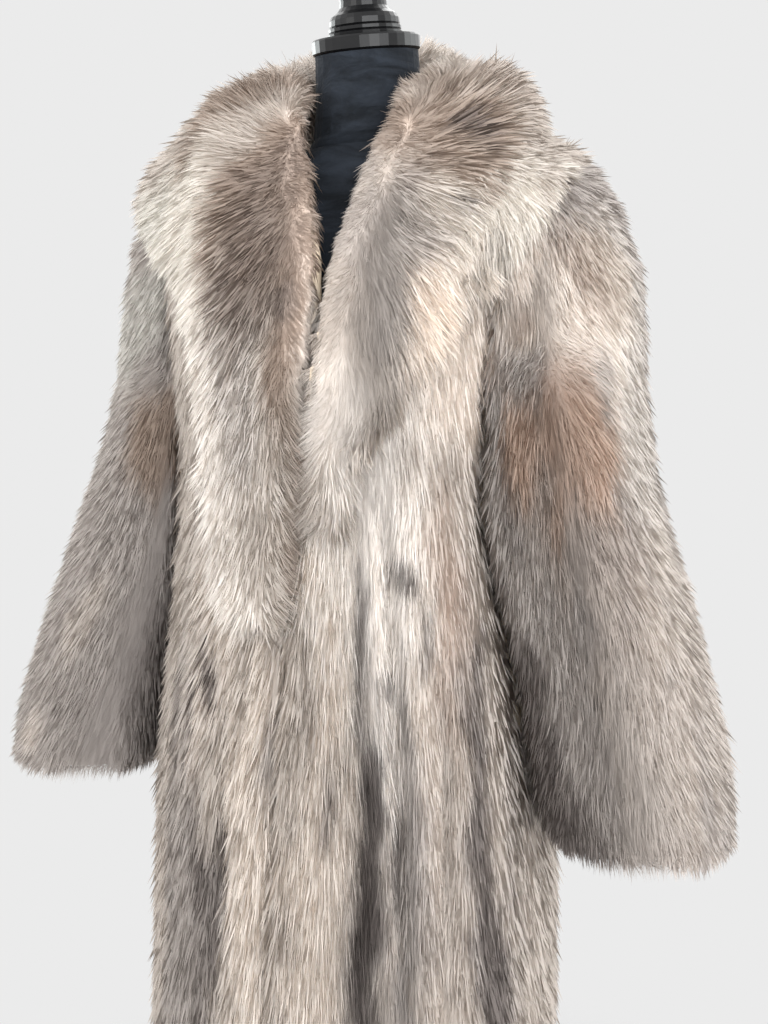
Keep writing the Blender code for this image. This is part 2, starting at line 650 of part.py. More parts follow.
def stand():
    """Round base, pole, and the flange under the torso."""
    add_object("base", turned(BASE_PROFILE, BASE_SEGMENTS), "black_metal", BLACK_METAL)
    flange_foot = FORM_RINGS[0].z - SEAM - FLANGE_PROFILE[-1].height
    flange = add_object("pole_flange", turned(FLANGE_PROFILE, POLE_SEGMENTS), "black_metal", BLACK_METAL)
    flange.location.z = flange_foot
    pole_foot = BASE_PROFILE[-1].height + SEAM
    pole_height = flange_foot - SEAM - pole_foot
    pole_profile = (Turn(POLE_RADIUS, 0.0), Turn(POLE_RADIUS, pole_height))
    pole = add_object("pole", turned(pole_profile, POLE_SEGMENTS), "black_metal", BLACK_METAL)
    pole.location.z = pole_foot


def main():
    clear_scene()
    coat_body()
    coat_sleeves_and_collar()
    form_torso()
    neck_fittings()
    stand()


main()
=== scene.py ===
"""Looks of a long-haired fur coat on a limbless dress form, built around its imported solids.

Each fur panel is a thin pelt on the form of its solid, and a coat of single hairs grown on that pelt.
Metres, +Z up; the coat faces -Y and +X is the wearer's left.
"""

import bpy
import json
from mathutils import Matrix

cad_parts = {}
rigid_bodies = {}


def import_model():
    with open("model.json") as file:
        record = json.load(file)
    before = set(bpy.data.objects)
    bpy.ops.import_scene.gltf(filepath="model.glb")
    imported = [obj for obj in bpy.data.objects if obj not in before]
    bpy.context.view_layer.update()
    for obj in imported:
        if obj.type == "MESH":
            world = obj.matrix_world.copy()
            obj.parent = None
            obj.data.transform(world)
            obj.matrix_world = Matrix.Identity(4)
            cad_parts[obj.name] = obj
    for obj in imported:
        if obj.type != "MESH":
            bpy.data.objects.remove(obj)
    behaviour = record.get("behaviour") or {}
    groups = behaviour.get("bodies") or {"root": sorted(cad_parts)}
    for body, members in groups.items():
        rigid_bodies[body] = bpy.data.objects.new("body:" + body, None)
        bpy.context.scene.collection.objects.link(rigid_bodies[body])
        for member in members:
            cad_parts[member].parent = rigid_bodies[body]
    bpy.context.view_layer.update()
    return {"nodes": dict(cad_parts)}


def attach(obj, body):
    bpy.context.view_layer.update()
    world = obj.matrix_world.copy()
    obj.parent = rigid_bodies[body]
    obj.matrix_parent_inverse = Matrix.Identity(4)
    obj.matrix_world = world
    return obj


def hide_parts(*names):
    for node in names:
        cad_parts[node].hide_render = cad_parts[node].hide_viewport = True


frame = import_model()

import json
import logging
import math
from dataclasses import dataclass
from enum import Enum

import bmesh
import bpy
import numpy as np
from bpy.types import Camera, Light, Material, Mesh, Node, NodeSocket, NodeTree, Object, Scene
from mathutils import Matrix, Vector
from mathutils.bvhtree import BVHTree

log = logging.getLogger("fur_coat")

UP = np.array((0.0, 0.0, 1.0))
DOWN = np.array((0.0, 0.0, -1.0))
HASH_PRIMES = np.array((73856093, 19349663, 83492791))
HASH_STEP, HASH_TURN, HASH_MASK = 2654435761, 1274126177, 0xFFFFFF

Array = np.ndarray
Triple = tuple[float, float, float]
Line = tuple[Triple, ...]


def linear(red: int, green: int, blue: int) -> Triple:
    """Linear colour of 0 to 255 display values.

    Args:
        red, green, blue: display values.
    Returns:
        The three linear values.
    """
    shares = (value / 255.0 for value in (red, green, blue))
    return tuple(s / 12.92 if s <= 0.04045 else ((s + 0.055) / 1.055) ** 2.4 for s in shares)


def ease(value: Array, low: float, high: float) -> Array:
    """0 at low and 1 at high, smooth between; low may be the greater."""
    share = np.clip((value - low) / (high - low), 0.0, 1.0)
    return share * share * (3.0 - 2.0 * share)


def unit(vectors: Array) -> Array:
    """Rows of an array brought to length 1."""
    return vectors / np.maximum(np.linalg.norm(vectors, axis=-1, keepdims=True), 1e-9)


def flat_on(vectors: Array, normals: Array) -> Array:
    """Part of each vector that lies in the plane across its normal, at length 1."""
    return unit(vectors - normals * (vectors * normals).sum(1, keepdims=True))


def hashed(cells: Array, seed: int) -> Array:
    """Repeatable number from 0 to 1 for each row of whole numbers.

    Args:
        cells: whole numbers, three a row.
        seed: which series.
    Returns:
        One number a row.
    """
    mixed = (cells.astype(np.int64) * HASH_PRIMES).sum(1) + seed * HASH_STEP
    mixed = (mixed ^ (mixed >> 13)) * HASH_TURN & 0xFFFFFFFF
    return ((mixed ^ (mixed >> 16)) & HASH_MASK) / float(HASH_MASK)


def noise(points: Array, size: float, seed: int, stretch: float = 1.0) -> Array:
    """Smooth noise from -1 to 1.

    Args:
        points: places, a row each.
        size: how far apart the noise's knots are.
        seed: which noise.
        stretch: how many times longer it is along Z.
    Returns:
        One number a point.
    """
    at = points / (size * np.array((1.0, 1.0, stretch)))
    low = np.floor(at)
    share = at - low
    share = share * share * (3.0 - 2.0 * share)
    total = np.zeros(len(points))
    for corner in np.ndindex(2, 2, 2):
        weight = np.prod(np.where(corner, share, 1.0 - share), axis=1)
        total += weight * hashed(low + corner, seed)
    return total * 2.0 - 1.0


def off_line(at: Array, line: Line) -> Array:
    """Run from the nearest point of a line of straight stretches to each place.

    Args:
        at: places, a row each.
        line: knots of the line.
    Returns:
        A row of three for each place.
    """
    best, least = np.zeros_like(at), np.full(len(at), np.inf)
    knots = np.array(line)
    for start, end in zip(knots[:-1], knots[1:]):
        step = end - start
        share = np.clip(((at - start) @ step) / (step @ step), 0.0, 1.0)
        run = at - (start + share[:, None] * step)
        far = np.linalg.norm(run, axis=1)
        closer = far < least
        best[closer], least[closer] = run[closer], far[closer]
    return best


def far_from(at: Array, line: Line) -> Array:
    """Distance from each place to a line of straight stretches."""
    return np.linalg.norm(off_line(at, line), axis=1)


class Tree:
    """Short hand for wiring a node tree."""

    def __init__(self, tree: NodeTree) -> None:
        """Takes the tree that its nodes go into."""
        self.tree = tree

    def add(self, kind: str, inputs: dict | None = None, **settings) -> Node:
        """New node.

        Args:
            kind: the node's type.
            inputs: value or output socket for each input, by name or place.
            settings: the node's own settings.
        Returns:
            The node.
        """
        node = self.tree.nodes.new(kind)
        for name, value in settings.items():
            setattr(node, name, value)
        for name, value in (inputs or {}).items():
            socket = node.inputs[name]
            if isinstance(value, NodeSocket):
                self.link(value, socket)
            else:
                socket.default_value = value
        return node

    def link(self, start: NodeSocket, end: NodeSocket) -> None:
        """Joins an output to an input."""
        self.tree.links.new(start, end)

    def math(self, operation: str, *values) -> NodeSocket:
        """Output of a Math node on up to three values."""
        return self.add("ShaderNodeMath", dict(enumerate(values)), operation=operation).outputs[0]

    def vector(self, operation: str, *values) -> NodeSocket:
        """Output of a Vector Math node on two vectors, or on a vector and a scale.

        Args:
            operation: name of the operation.
            values: values or output sockets.
        Returns:
            Output socket.
        """
        inputs = dict(enumerate(values))
        if operation == "SCALE":
            inputs = {0: values[0], "Scale": values[1]}
        node = self.add("ShaderNodeVectorMath", inputs, operation=operation)
        return node.outputs["Value" if operation in ("DOT_PRODUCT", "LENGTH") else "Vector"]

    def attribute(self, name: str, output: str) -> NodeSocket:
        """Output of a material's node that reads a mesh's attribute."""
        return self.add("ShaderNodeAttribute", attribute_name=name).outputs[output]

    def texture(self, place: NodeSocket, scale: float, detail: float, **more: float) -> NodeSocket:
        """Strength of a noise at a place."""
        inputs = {"Vector": place, "Scale": scale, "Detail": detail, **more}
        return self.add("ShaderNodeTexNoise", inputs).outputs["Fac"]

    def span(self, value: NodeSocket, low: float, high: float, start: float = 0.0, end: float = 1.0,
             **settings) -> NodeSocket:
        """Value brought from the range of start and end into that of low and high."""
        inputs = {"Value": value, "From Min": start, "From Max": end, "To Min": low, "To Max": high}
        return self.add("ShaderNodeMapRange", inputs, **settings).outputs["Result"]

    def blend(self, share: NodeSocket, first: NodeSocket | Triple, second: NodeSocket | Triple) -> NodeSocket:
        """Colour between two colours, each a socket or three numbers."""
        ends = [end if isinstance(end, NodeSocket) else (*end, 1.0) for end in (first, second)]
        return self.add("ShaderNodeMix", {0: share, 6: ends[0], 7: ends[1]}, data_type="RGBA").outputs[2]

    def bump(self, height: NodeSocket, strength: float, distance: float) -> NodeSocket:
        """Normal bent by a height."""
        inputs = {"Height": height, "Strength": strength, "Distance": distance}
        return self.add("ShaderNodeBump", inputs).outputs["Normal"]


def new_material(name: str) -> tuple[Material, Tree, Node]:
    """New material with its tree and its shader.

    Args:
        name: the material's name.
    Returns:
        Material, tree and shader.
    """
    material = bpy.data.materials.new(name)
    material.use_nodes = True
    return material, Tree(material.node_tree), material.node_tree.nodes["Principled BSDF"]


def placed(name: str, data: Mesh | Light | Camera) -> Object:
    """New object in the scene.

    Args:
        name: the object's name.
        data: what it shows.
    Returns:
        The object.
    """
    item = bpy.data.objects.new(name, data)
    bpy.context.scene.collection.objects.link(item)
    return item


def flattened(host: Object, name: str) -> Mesh:
    """Plain mesh of an object with its modifiers applied; the object goes.

    Args:
        host: object with the modifiers.
        name: the mesh's name.
    Returns:
        The mesh.
    """
    depsgraph = bpy.context.evaluated_depsgraph_get()
    mesh = bpy.data.meshes.new_from_object(host.evaluated_get(depsgraph), depsgraph=depsgraph)
    mesh.name = name
    bpy.data.objects.remove(host)
    return mesh


class Tone(Enum):
    """Shades of the pelts: light hair, dark hair, and the share of dark hair."""

    WHITE = ((241, 235, 229), (182, 171, 163), 0.06)
    IVORY = ((227, 221, 213), (171, 162, 153), 0.08)
    CREAM = ((232, 223, 214), (172, 156, 148), 0.09)
    PEACH = ((242, 231, 220), (196, 178, 165), 0.06)
    BEIGE = ((212, 203, 194), (140, 128, 122), 0.28)
    GREY = ((208, 200, 194), (108, 99, 95), 0.44)
    BROWN = ((192, 175, 161), (116, 99, 89), 0.50)
    RUST = ((202, 178, 161), (136, 114, 101), 0.44)
    DARK = ((146, 135, 130), (64, 58, 56), 0.72)
    # This tone paints a cool rim light at the outer edges of the right lapel and right sleeve.
    COOL = ((214, 213, 206), (148, 147, 141), 0.20)

    def numbers(self) -> Array:
        """Linear light colour, linear dark colour and dark share in one row of seven."""
        light, dark, share = self.value
        return np.array((*linear(*light), *linear(*dark), share))


@dataclass(frozen=True)
class Patch:
    """Soft-edged area of another shade: its middle, half width and half height, and how strong it is. A few paint
    shade, and those of the cool rim tone paint rim light.
    """

    x: float
    z: float
    half_width: float
    half_height: float
    tone: Tone
    strength: float = 1.0


@dataclass(frozen=True)
class Whorl:
    """Point that hair grows away from, how far that reaches, and how upright the hair stands in its middle."""

    x: float
    y: float
    z: float
    reach: float = 0.06
    strength: float = 0.35
    least: float = 0.12
    clear: float = 0.055

    def away(self, at: Array) -> Array:
        """Run from the whorl to each place."""
        return at - np.array((self.x, self.y, self.z))

    def pull(self, at: Array) -> Array:
        """Share of the hair's way that the whorl takes at each place."""
        return self.strength * np.exp(-(np.linalg.norm(self.away(at), axis=1) / self.reach) ** 2)

    def lie(self, at: Array) -> Array:
        """Share of the hair's lie that is left at each place."""
        far = np.linalg.norm(self.away(at), axis=1) * (1.0 + 0.6 * noise(at, 0.014, 5))
        return self.least + (1.0 - self.least) * ease(far, 0.0, self.clear)


@dataclass(frozen=True)
class Hair:
    """Sizes of the hair of one panel."""

    length: float
    width: float
    lift: float
    count: int
    seed: int
    spread: float = 0.15
    clump: float = 0.007
    bend: float = 0.09
    pull: float = 0.08


@dataclass(frozen=True)
class FurFinish:
    """Hair that takes its colour from the tint of each hair."""

    name: str = "fur_hair"
    roughness: float = 0.70
    specular: float = 0.16
    translucent: float = 0.55

    def make(self) -> Material:
        """The finish as a material.

        Returns:
            The material.
        """
        material, tree, shader = new_material(self.name)
        fine = tree.texture(tree.attribute("grain", "Vector"), 1.0, 1.0)
        shade = tree.span(fine, 0.93, 1.07, 0.30, 0.70)
        colour = tree.vector("SCALE", tree.attribute("tint", "Color"), shade)
        tree.link(colour, shader.inputs["Base Color"])
        shader.inputs["Roughness"].default_value = self.roughness
        shader.inputs["Specular IOR Level"].default_value = self.specular
        through = tree.add("ShaderNodeBsdfTranslucent", {"Color": colour})
        mixed = tree.add("ShaderNodeMixShader", {0: self.translucent, 1: shader.outputs[0], 2: through.outputs[0]})
        tree.link(mixed.outputs[0], material.node_tree.nodes["Material Output"].inputs["Surface"])
        return material


@dataclass(frozen=True)
class PeltFinish:
    """Skin of the pelt: suede inside, matted underhair outside."""

    name: str = "fur_pelt"
    suede: Triple = linear(196, 180, 158)
    strand_scale: Triple = (700.0, 700.0, 90.0)
    roughness: float = 0.9

    def make(self) -> Material:
        """The finish as a material.

        Returns:
            The material.
        """
        material, tree, shader = new_material(self.name)
        place = tree.add("ShaderNodeTexCoord").outputs["Object"]
        along = tree.add("ShaderNodeMapping", {"Vector": place, "Scale": self.strand_scale}).outputs["Vector"]
        strands = tree.texture(along, 1.0, 3.0)
        leather = tree.blend(tree.texture(place, 380.0, 4.0), self.suede, [c * 0.72 for c in self.suede])
        hair = tree.vector("SCALE", tree.attribute("tint", "Color"), tree.span(strands, 0.82, 1.08))
        tree.link(tree.blend(tree.attribute("growth", "Fac"), leather, hair), shader.inputs["Base Color"])
        tree.link(tree.bump(strands, 0.5, 0.002), shader.inputs["Normal"])
        shader.inputs["Roughness"].default_value = self.roughness
        return material


@dataclass(frozen=True)
class SolidFinish:
    """Plain finish of a part of the stand, with a fine grain and soft marks worked out in its own space; where the
    marks are high the colour goes toward a lighter one, which on the velvet is a painted crease highlight.
    """

    name: str
    colour: Triple
    # other: lighter colour of the marks; on the velvet it paints crease highlights.
    other: Triple
    roughness: float
    metallic: float = 0.0
    sheen: float = 0.0
    sheen_roughness: float = 0.35
    specular: float = 0.5
    mark_scale: float = 14.0
    mark_stretch: Triple = (1.0, 1.0, 1.0)
    mark_turn: Triple = (0.0, 0.0, 0.0)
    grain_scale: float = 260.0
    bump: float = 0.0
    bump_distance: float = 0.001

    def make(self) -> Material:
        """The finish as a material.

        Returns:
            The material.
        """
        material, tree, shader = new_material(self.name)
        place = tree.add("ShaderNodeTexCoord").outputs["Object"]
        turned = tree.add("ShaderNodeMapping", {"Vector": place, "Rotation": self.mark_turn,
                                               "Scale": self.mark_stretch}).outputs["Vector"]
        marks = tree.texture(turned, self.mark_scale, 5.0, Roughness=0.6, Distortion=0.8)
        # The marks lighten the colour toward other; on the velvet this paints the crease highlights, while the same
        # marks also bump the surface.
        colour = tree.blend(tree.span(marks, 0.0, 1.0, 0.38, 0.68), self.colour, self.other)
        tree.link(colour, shader.inputs["Base Color"])
        grain = tree.texture(place, self.grain_scale, 3.0)
        height = tree.math("MULTIPLY_ADD", grain, 0.25, marks)
        tree.link(tree.bump(height, self.bump, self.bump_distance), shader.inputs["Normal"])
        rough = tree.span(grain, self.roughness * 0.85, min(1.0, self.roughness * 1.15))
        tree.link(rough, shader.inputs["Roughness"])
        for name, value in (("Metallic", self.metallic), ("Sheen Weight", self.sheen),
                            ("Sheen Roughness", self.sheen_roughness), ("Specular IOR Level", self.specular)):
            shader.inputs[name].default_value = value
        return material


class FurTree:
    """Geometry Nodes tree that grows flat tapered hairs on a mesh with growth, flow, up and reach."""

    SIZES = ("Density", "Length", "Width", "Lift", "Bend", "Spread", "Clump", "Pull")
    OTHERS = {"Seed": "Int", "Strands": "Collection", "Material": "Material"}
    WILD_POWER, WILD_LIFT, LIFT_SPREAD = 9.0, 0.16, 0.07
    LENGTHS = (0.68, 1.08)
    TWIST = 0.6

    def __init__(self) -> None:
        """Builds the tree."""
        self.group = bpy.data.node_groups.new("fur", "GeometryNodeTree")
        face = self.group.interface
        face.new_socket("Geometry", in_out="INPUT", socket_type="NodeSocketGeometry")
        for name, kind in {**dict.fromkeys(self.SIZES, "Float"), **self.OTHERS}.items():
            face.new_socket(name, in_out="INPUT", socket_type="NodeSocket" + kind)
        face.new_socket("Geometry", in_out="OUTPUT", socket_type="NodeSocketGeometry")
        self.tree = Tree(self.group)
        self.given = self.tree.add("NodeGroupInput").outputs
        self._grown(self._stored(self._scatter()))

    def _field(self, name: str, kind: str = "FLOAT_VECTOR") -> NodeSocket:
        """Field that reads a named attribute."""
        node = self.tree.add("GeometryNodeInputNamedAttribute", {"Name": name}, data_type=kind)
        return node.outputs["Attribute"]

    def _store(self, geometry, name: str, value, kind: str = "FLOAT_VECTOR") -> NodeSocket:
        """Geometry with a value stored on its points.

        Args:
            geometry: output socket of the points.
            name: the attribute's name.
            value: field to store.
            kind: the value's type.
        Returns:
            Output socket of the points.
        """
        node = self.tree.add("GeometryNodeStoreNamedAttribute", data_type=kind, domain="POINT")
        self.tree.link(geometry, node.inputs["Geometry"])
        node.inputs["Name"].default_value = name
        self.tree.link(value, node.inputs["Value"])
        return node.outputs["Geometry"]

    def _random(self, low: float, high: float, offset: int) -> NodeSocket:
        """Random number for each point, from the tree's seed and an offset.

        Args:
            low, high: range.
            offset: what is added to the tree's seed.
        Returns:
            Field.
        """
        seed = self.tree.math("ADD", self.given["Seed"], float(offset))
        node = self.tree.add("FunctionNodeRandomValue", {2: low, 3: high, "Seed": seed}, data_type="FLOAT")
        return node.outputs[1]

    def _scatter(self) -> NodeSocket:
        """Points on the mesh, thick where the growth is high.

        Returns:
            Output socket of the points.
        """
        density = self.tree.math("MULTIPLY", self._field("growth", "FLOAT"), self.given["Density"])
        node = self.tree.add("GeometryNodeDistributePointsOnFaces", {
            "Mesh": self.given["Geometry"], "Density": density, "Seed": self.given["Seed"]})
        return node.outputs["Points"]

    def _stored(self, points) -> NodeSocket:
        """Points that carry the root, the run to the tip, the side and a random number of their hair.

        Args:
            points: output socket of the points.
        Returns:
            Output socket of the same points.
        """
        tree, vector = self.tree, self.tree.vector
        position = tree.add("GeometryNodeInputPosition").outputs[0]
        points = self._store(points, "root", position)
        points = self._store(points, "rnd", self._random(0.0, 1.0, 1), "FLOAT")
        index = tree.add("GeometryNodeInputIndex").outputs[0]
        points = self._store(points, "serial", index, "INT")
        up = vector("NORMALIZE", self._field("up"), (0.0, 0.0, 0.0))
        flow = self._field("flow")
        wild = tree.math("POWER", self._random(0.0, 1.0, 2), self.WILD_POWER)
        lift = tree.math("ADD", self.given["Lift"], tree.math("MULTIPLY", wild, self.WILD_LIFT))
        lift = tree.math("ADD", lift, self._random(-self.LIFT_SPREAD, self.LIFT_SPREAD, 3))
        run = vector("ADD", vector("SCALE", flow, tree.math("COSINE", lift)),
                     vector("SCALE", up, tree.math("SINE", lift)))
        seed = tree.math("ADD", self.given["Seed"], 4.0)
        shake = tree.add("FunctionNodeRandomValue", {0: (-1.0,) * 3, 1: (1.0,) * 3, "Seed": seed},
                         data_type="FLOAT_VECTOR").outputs[0]
        run = vector("NORMALIZE", vector("ADD", run, vector("SCALE", shake, self.given["Spread"])), (0.0,) * 3)
        length = tree.math("MULTIPLY", self.given["Length"], self._field("reach", "FLOAT"))
        length = tree.math("MULTIPLY", length, self._random(*self.LENGTHS, 5))
        run = vector("SCALE", run, length)
        cell = tree.add("ShaderNodeTexVoronoi", {"Vector": position}, voronoi_dimensions="3D", feature="F1")
        self.tree.link(tree.math("DIVIDE", 1.0, self.given["Clump"]), cell.inputs["Scale"])
        inward = vector("SUBTRACT", cell.outputs["Position"], position)
        inward = vector("SUBTRACT", inward, vector("SCALE", up, vector("DOT_PRODUCT", inward, up)))
        inward = vector("SUBTRACT", inward, vector("SCALE", flow, vector("DOT_PRODUCT", inward, flow)))
        run = vector("ADD", run, vector("SCALE", inward, self.given["Pull"]))
        points = self._store(points, "run", run)
        side = vector("NORMALIZE", vector("CROSS_PRODUCT", run, up), (0.0,) * 3)
        twist = vector("SCALE", up, self._random(-self.TWIST, self.TWIST, 6))
        side = vector("NORMALIZE", vector("ADD", side, twist), (0.0,) * 3)
        points = self._store(points, "side", side)
        return points

    def _grown(self, points) -> None:
        """Hairs on the points, each moved into the shape that its point carries.

        Args:
            points: output socket of the points that carry their hair.
        """
        tree, vector = self.tree, self.tree.vector
        strands = tree.add("GeometryNodeCollectionInfo", {"Collection": self.given["Strands"],
                                                         "Separate Children": True, "Reset Children": True})
        placed = tree.add("GeometryNodeInstanceOnPoints", {"Points": points, "Instance": strands.outputs[0],
                                                          "Pick Instance": True})
        real = tree.add("GeometryNodeRealizeInstances", {"Geometry": placed.outputs[0]})
        along, across = self._field("along", "FLOAT"), self._field("across", "FLOAT")
        run = self._field("run")
        place = vector("ADD", self._field("root"), vector("SCALE", run, along))
        arch = tree.math("MULTIPLY", along, tree.math("SUBTRACT", 1.0, along))
        arch = tree.math("MULTIPLY", arch, tree.math("MULTIPLY", self.given["Bend"], vector("LENGTH", run, (0.0,) * 3)))
        place = vector("ADD", place, vector("SCALE", self._field("up"), tree.math("MULTIPLY", arch, 4.0)))
        breadth = tree.math("MULTIPLY", across, self.given["Width"])
        place = vector("ADD", place, vector("SCALE", self._field("side"), breadth))
        moved = tree.add("GeometryNodeSetPosition", {"Geometry": real.outputs[0], "Position": place})
        coloured = tree.add("GeometryNodeSetMaterial", {"Geometry": moved.outputs[0],
                                                       "Material": self.given["Material"]})
        end = tree.add("NodeGroupOutput")
        tree.link(coloured.outputs[0], end.inputs[0])

    def grow(self, name: str, skin: Mesh, inputs: dict) -> Mesh:
        """Plain mesh of the hairs.

        Args:
            name: the mesh's name.
            skin: mesh with the attributes that the tree reads.
            inputs: value of each of the tree's inputs, by name.
        Returns:
            The mesh, with the values that each hair carries as attributes.
        """
        host = placed(name + "_host", skin)
        modifier = host.modifiers.new("fur", "NODES")
        modifier.node_group = self.group
        for item in self.group.interface.items_tree:
            if item.in_out == "INPUT" and item.name in inputs:
                modifier[item.identifier] = inputs[item.name]
        return flattened(host, name)


class Strands:
    """Short list of flat hair shapes, measured along the hair and across it."""

    SHAPES = (
        (((0.0, 0.0), (0.38, -0.50), (1.0, 0.00), (0.38, 0.50)), ((0, 2, 1), (0, 3, 2))),
        (((0.0, -0.35), (1.0, -0.60), (0.36, 0.50)), ((0, 2, 1),)),
        (((0.0, 0.35), (1.0, 0.60), (0.36, -0.50)), ((0, 1, 2),)),
        (((0.0, -0.40), (1.0, 0.00), (0.05, 0.40)), ((0, 2, 1),)),
    )

    def __init__(self) -> None:
        """Makes one object for each shape, in a collection of their own."""
        self.collection = bpy.data.collections.new("strands")
        for number, (points, faces) in enumerate(self.SHAPES):
            mesh = bpy.data.meshes.new(f"strand_{number}")
            mesh.from_pydata([(along, across, 0.0) for along, across in points], [], faces)
            for column, name in enumerate(("along", "across")):
                values = mesh.attributes.new(name, "FLOAT", "POINT").data
                values.foreach_set("value", [point[column] for point in points])
            self.collection.objects.link(bpy.data.objects.new(mesh.name, mesh))

    def remove(self) -> None:
        """Takes the shapes out of the file once everything has been grown."""
        for item in list(self.collection.objects):
            bpy.data.objects.remove(item)
        bpy.data.collections.remove(self.collection)


def threes(items: bpy.types.bpy_prop_collection, key: str, kind: type = np.float32) -> Array:
    """Values of a mesh's items, a row of three each.

    Args:
        items: vertices, normals or values of an attribute.
        key: what is read of each.
        kind: type of the numbers as stored.
    Returns:
        Array of three columns.
    """
    values = np.empty(len(items) * 3, kind)
    items.foreach_get(key, values)
    return values.reshape(-1, 3).astype(float)


def column(mesh: Mesh, name: str) -> Array:
    """Values of a point attribute: a number a point, or a row of three.

    Args:
        mesh: where the attribute is.
        name: its name.
    Returns:
        Array of its values.
    """
    attribute = mesh.attributes[name]
    if attribute.data_type == "FLOAT_VECTOR":
        return threes(attribute.data, "vector")
    whole = attribute.data_type == "INT"
    values = np.empty(len(attribute.data), np.int32 if whole else np.float32)
    attribute.data.foreach_get("value", values)
    return values if whole else values.astype(float)


def places(mesh: Mesh) -> Array:
    """Places of a mesh's vertices."""
    return threes(mesh.vertices, "co", float)


def normals(mesh: Mesh) -> Array:
    """Normals of a mesh's vertices."""
    return threes(mesh.vertex_normals, "vector")


def put(mesh: Mesh, name: str, kind: str, values: Array) -> None:
    """Stores a point attribute."""
    key = {"FLOAT": "value", "FLOAT_VECTOR": "vector", "FLOAT_COLOR": "color"}[kind]
    mesh.attributes.new(name, kind, "POINT").data.foreach_set(key, values.astype(np.float32).ravel())


def tree_of(mesh: Mesh, keep: Array | None = None) -> BVHTree:
    """Search tree of a mesh's faces, or of the faces all of whose vertices are kept.

    Args:
        mesh: the mesh.
        keep: True for each vertex that counts, or None for all.
    Returns:
        The tree.
    """
    faces = [tuple(face.vertices) for face in mesh.polygons]
    if keep is not None:
        faces = [face for face in faces if all(keep[v] for v in face)]
    return BVHTree.FromPolygons([tuple(p) for p in places(mesh)], faces)


def changed(mesh: Mesh, name: str, steps: list[tuple[str, dict]]) -> Mesh:
    """Copy of a mesh with modifiers applied in turn.

    Args:
        mesh: the mesh to start from.
        name: the copy's name.
        steps: kind and settings of each modifier.
    Returns:
        The new mesh.
    """
    host = placed(name, mesh)
    for kind, settings in steps:
        modifier = host.modifiers.new(kind, kind)
        for key, value in settings.items():
            setattr(modifier, key, value)
    return flattened(host, name)


@dataclass(frozen=True)
class Crease:
    """Soft trough in the outer side of a pelt: where it runs, its half breadth and its depth."""

    angle: float
    lean: float
    top_z: float
    low_z: float
    breadth: float
    depth: float


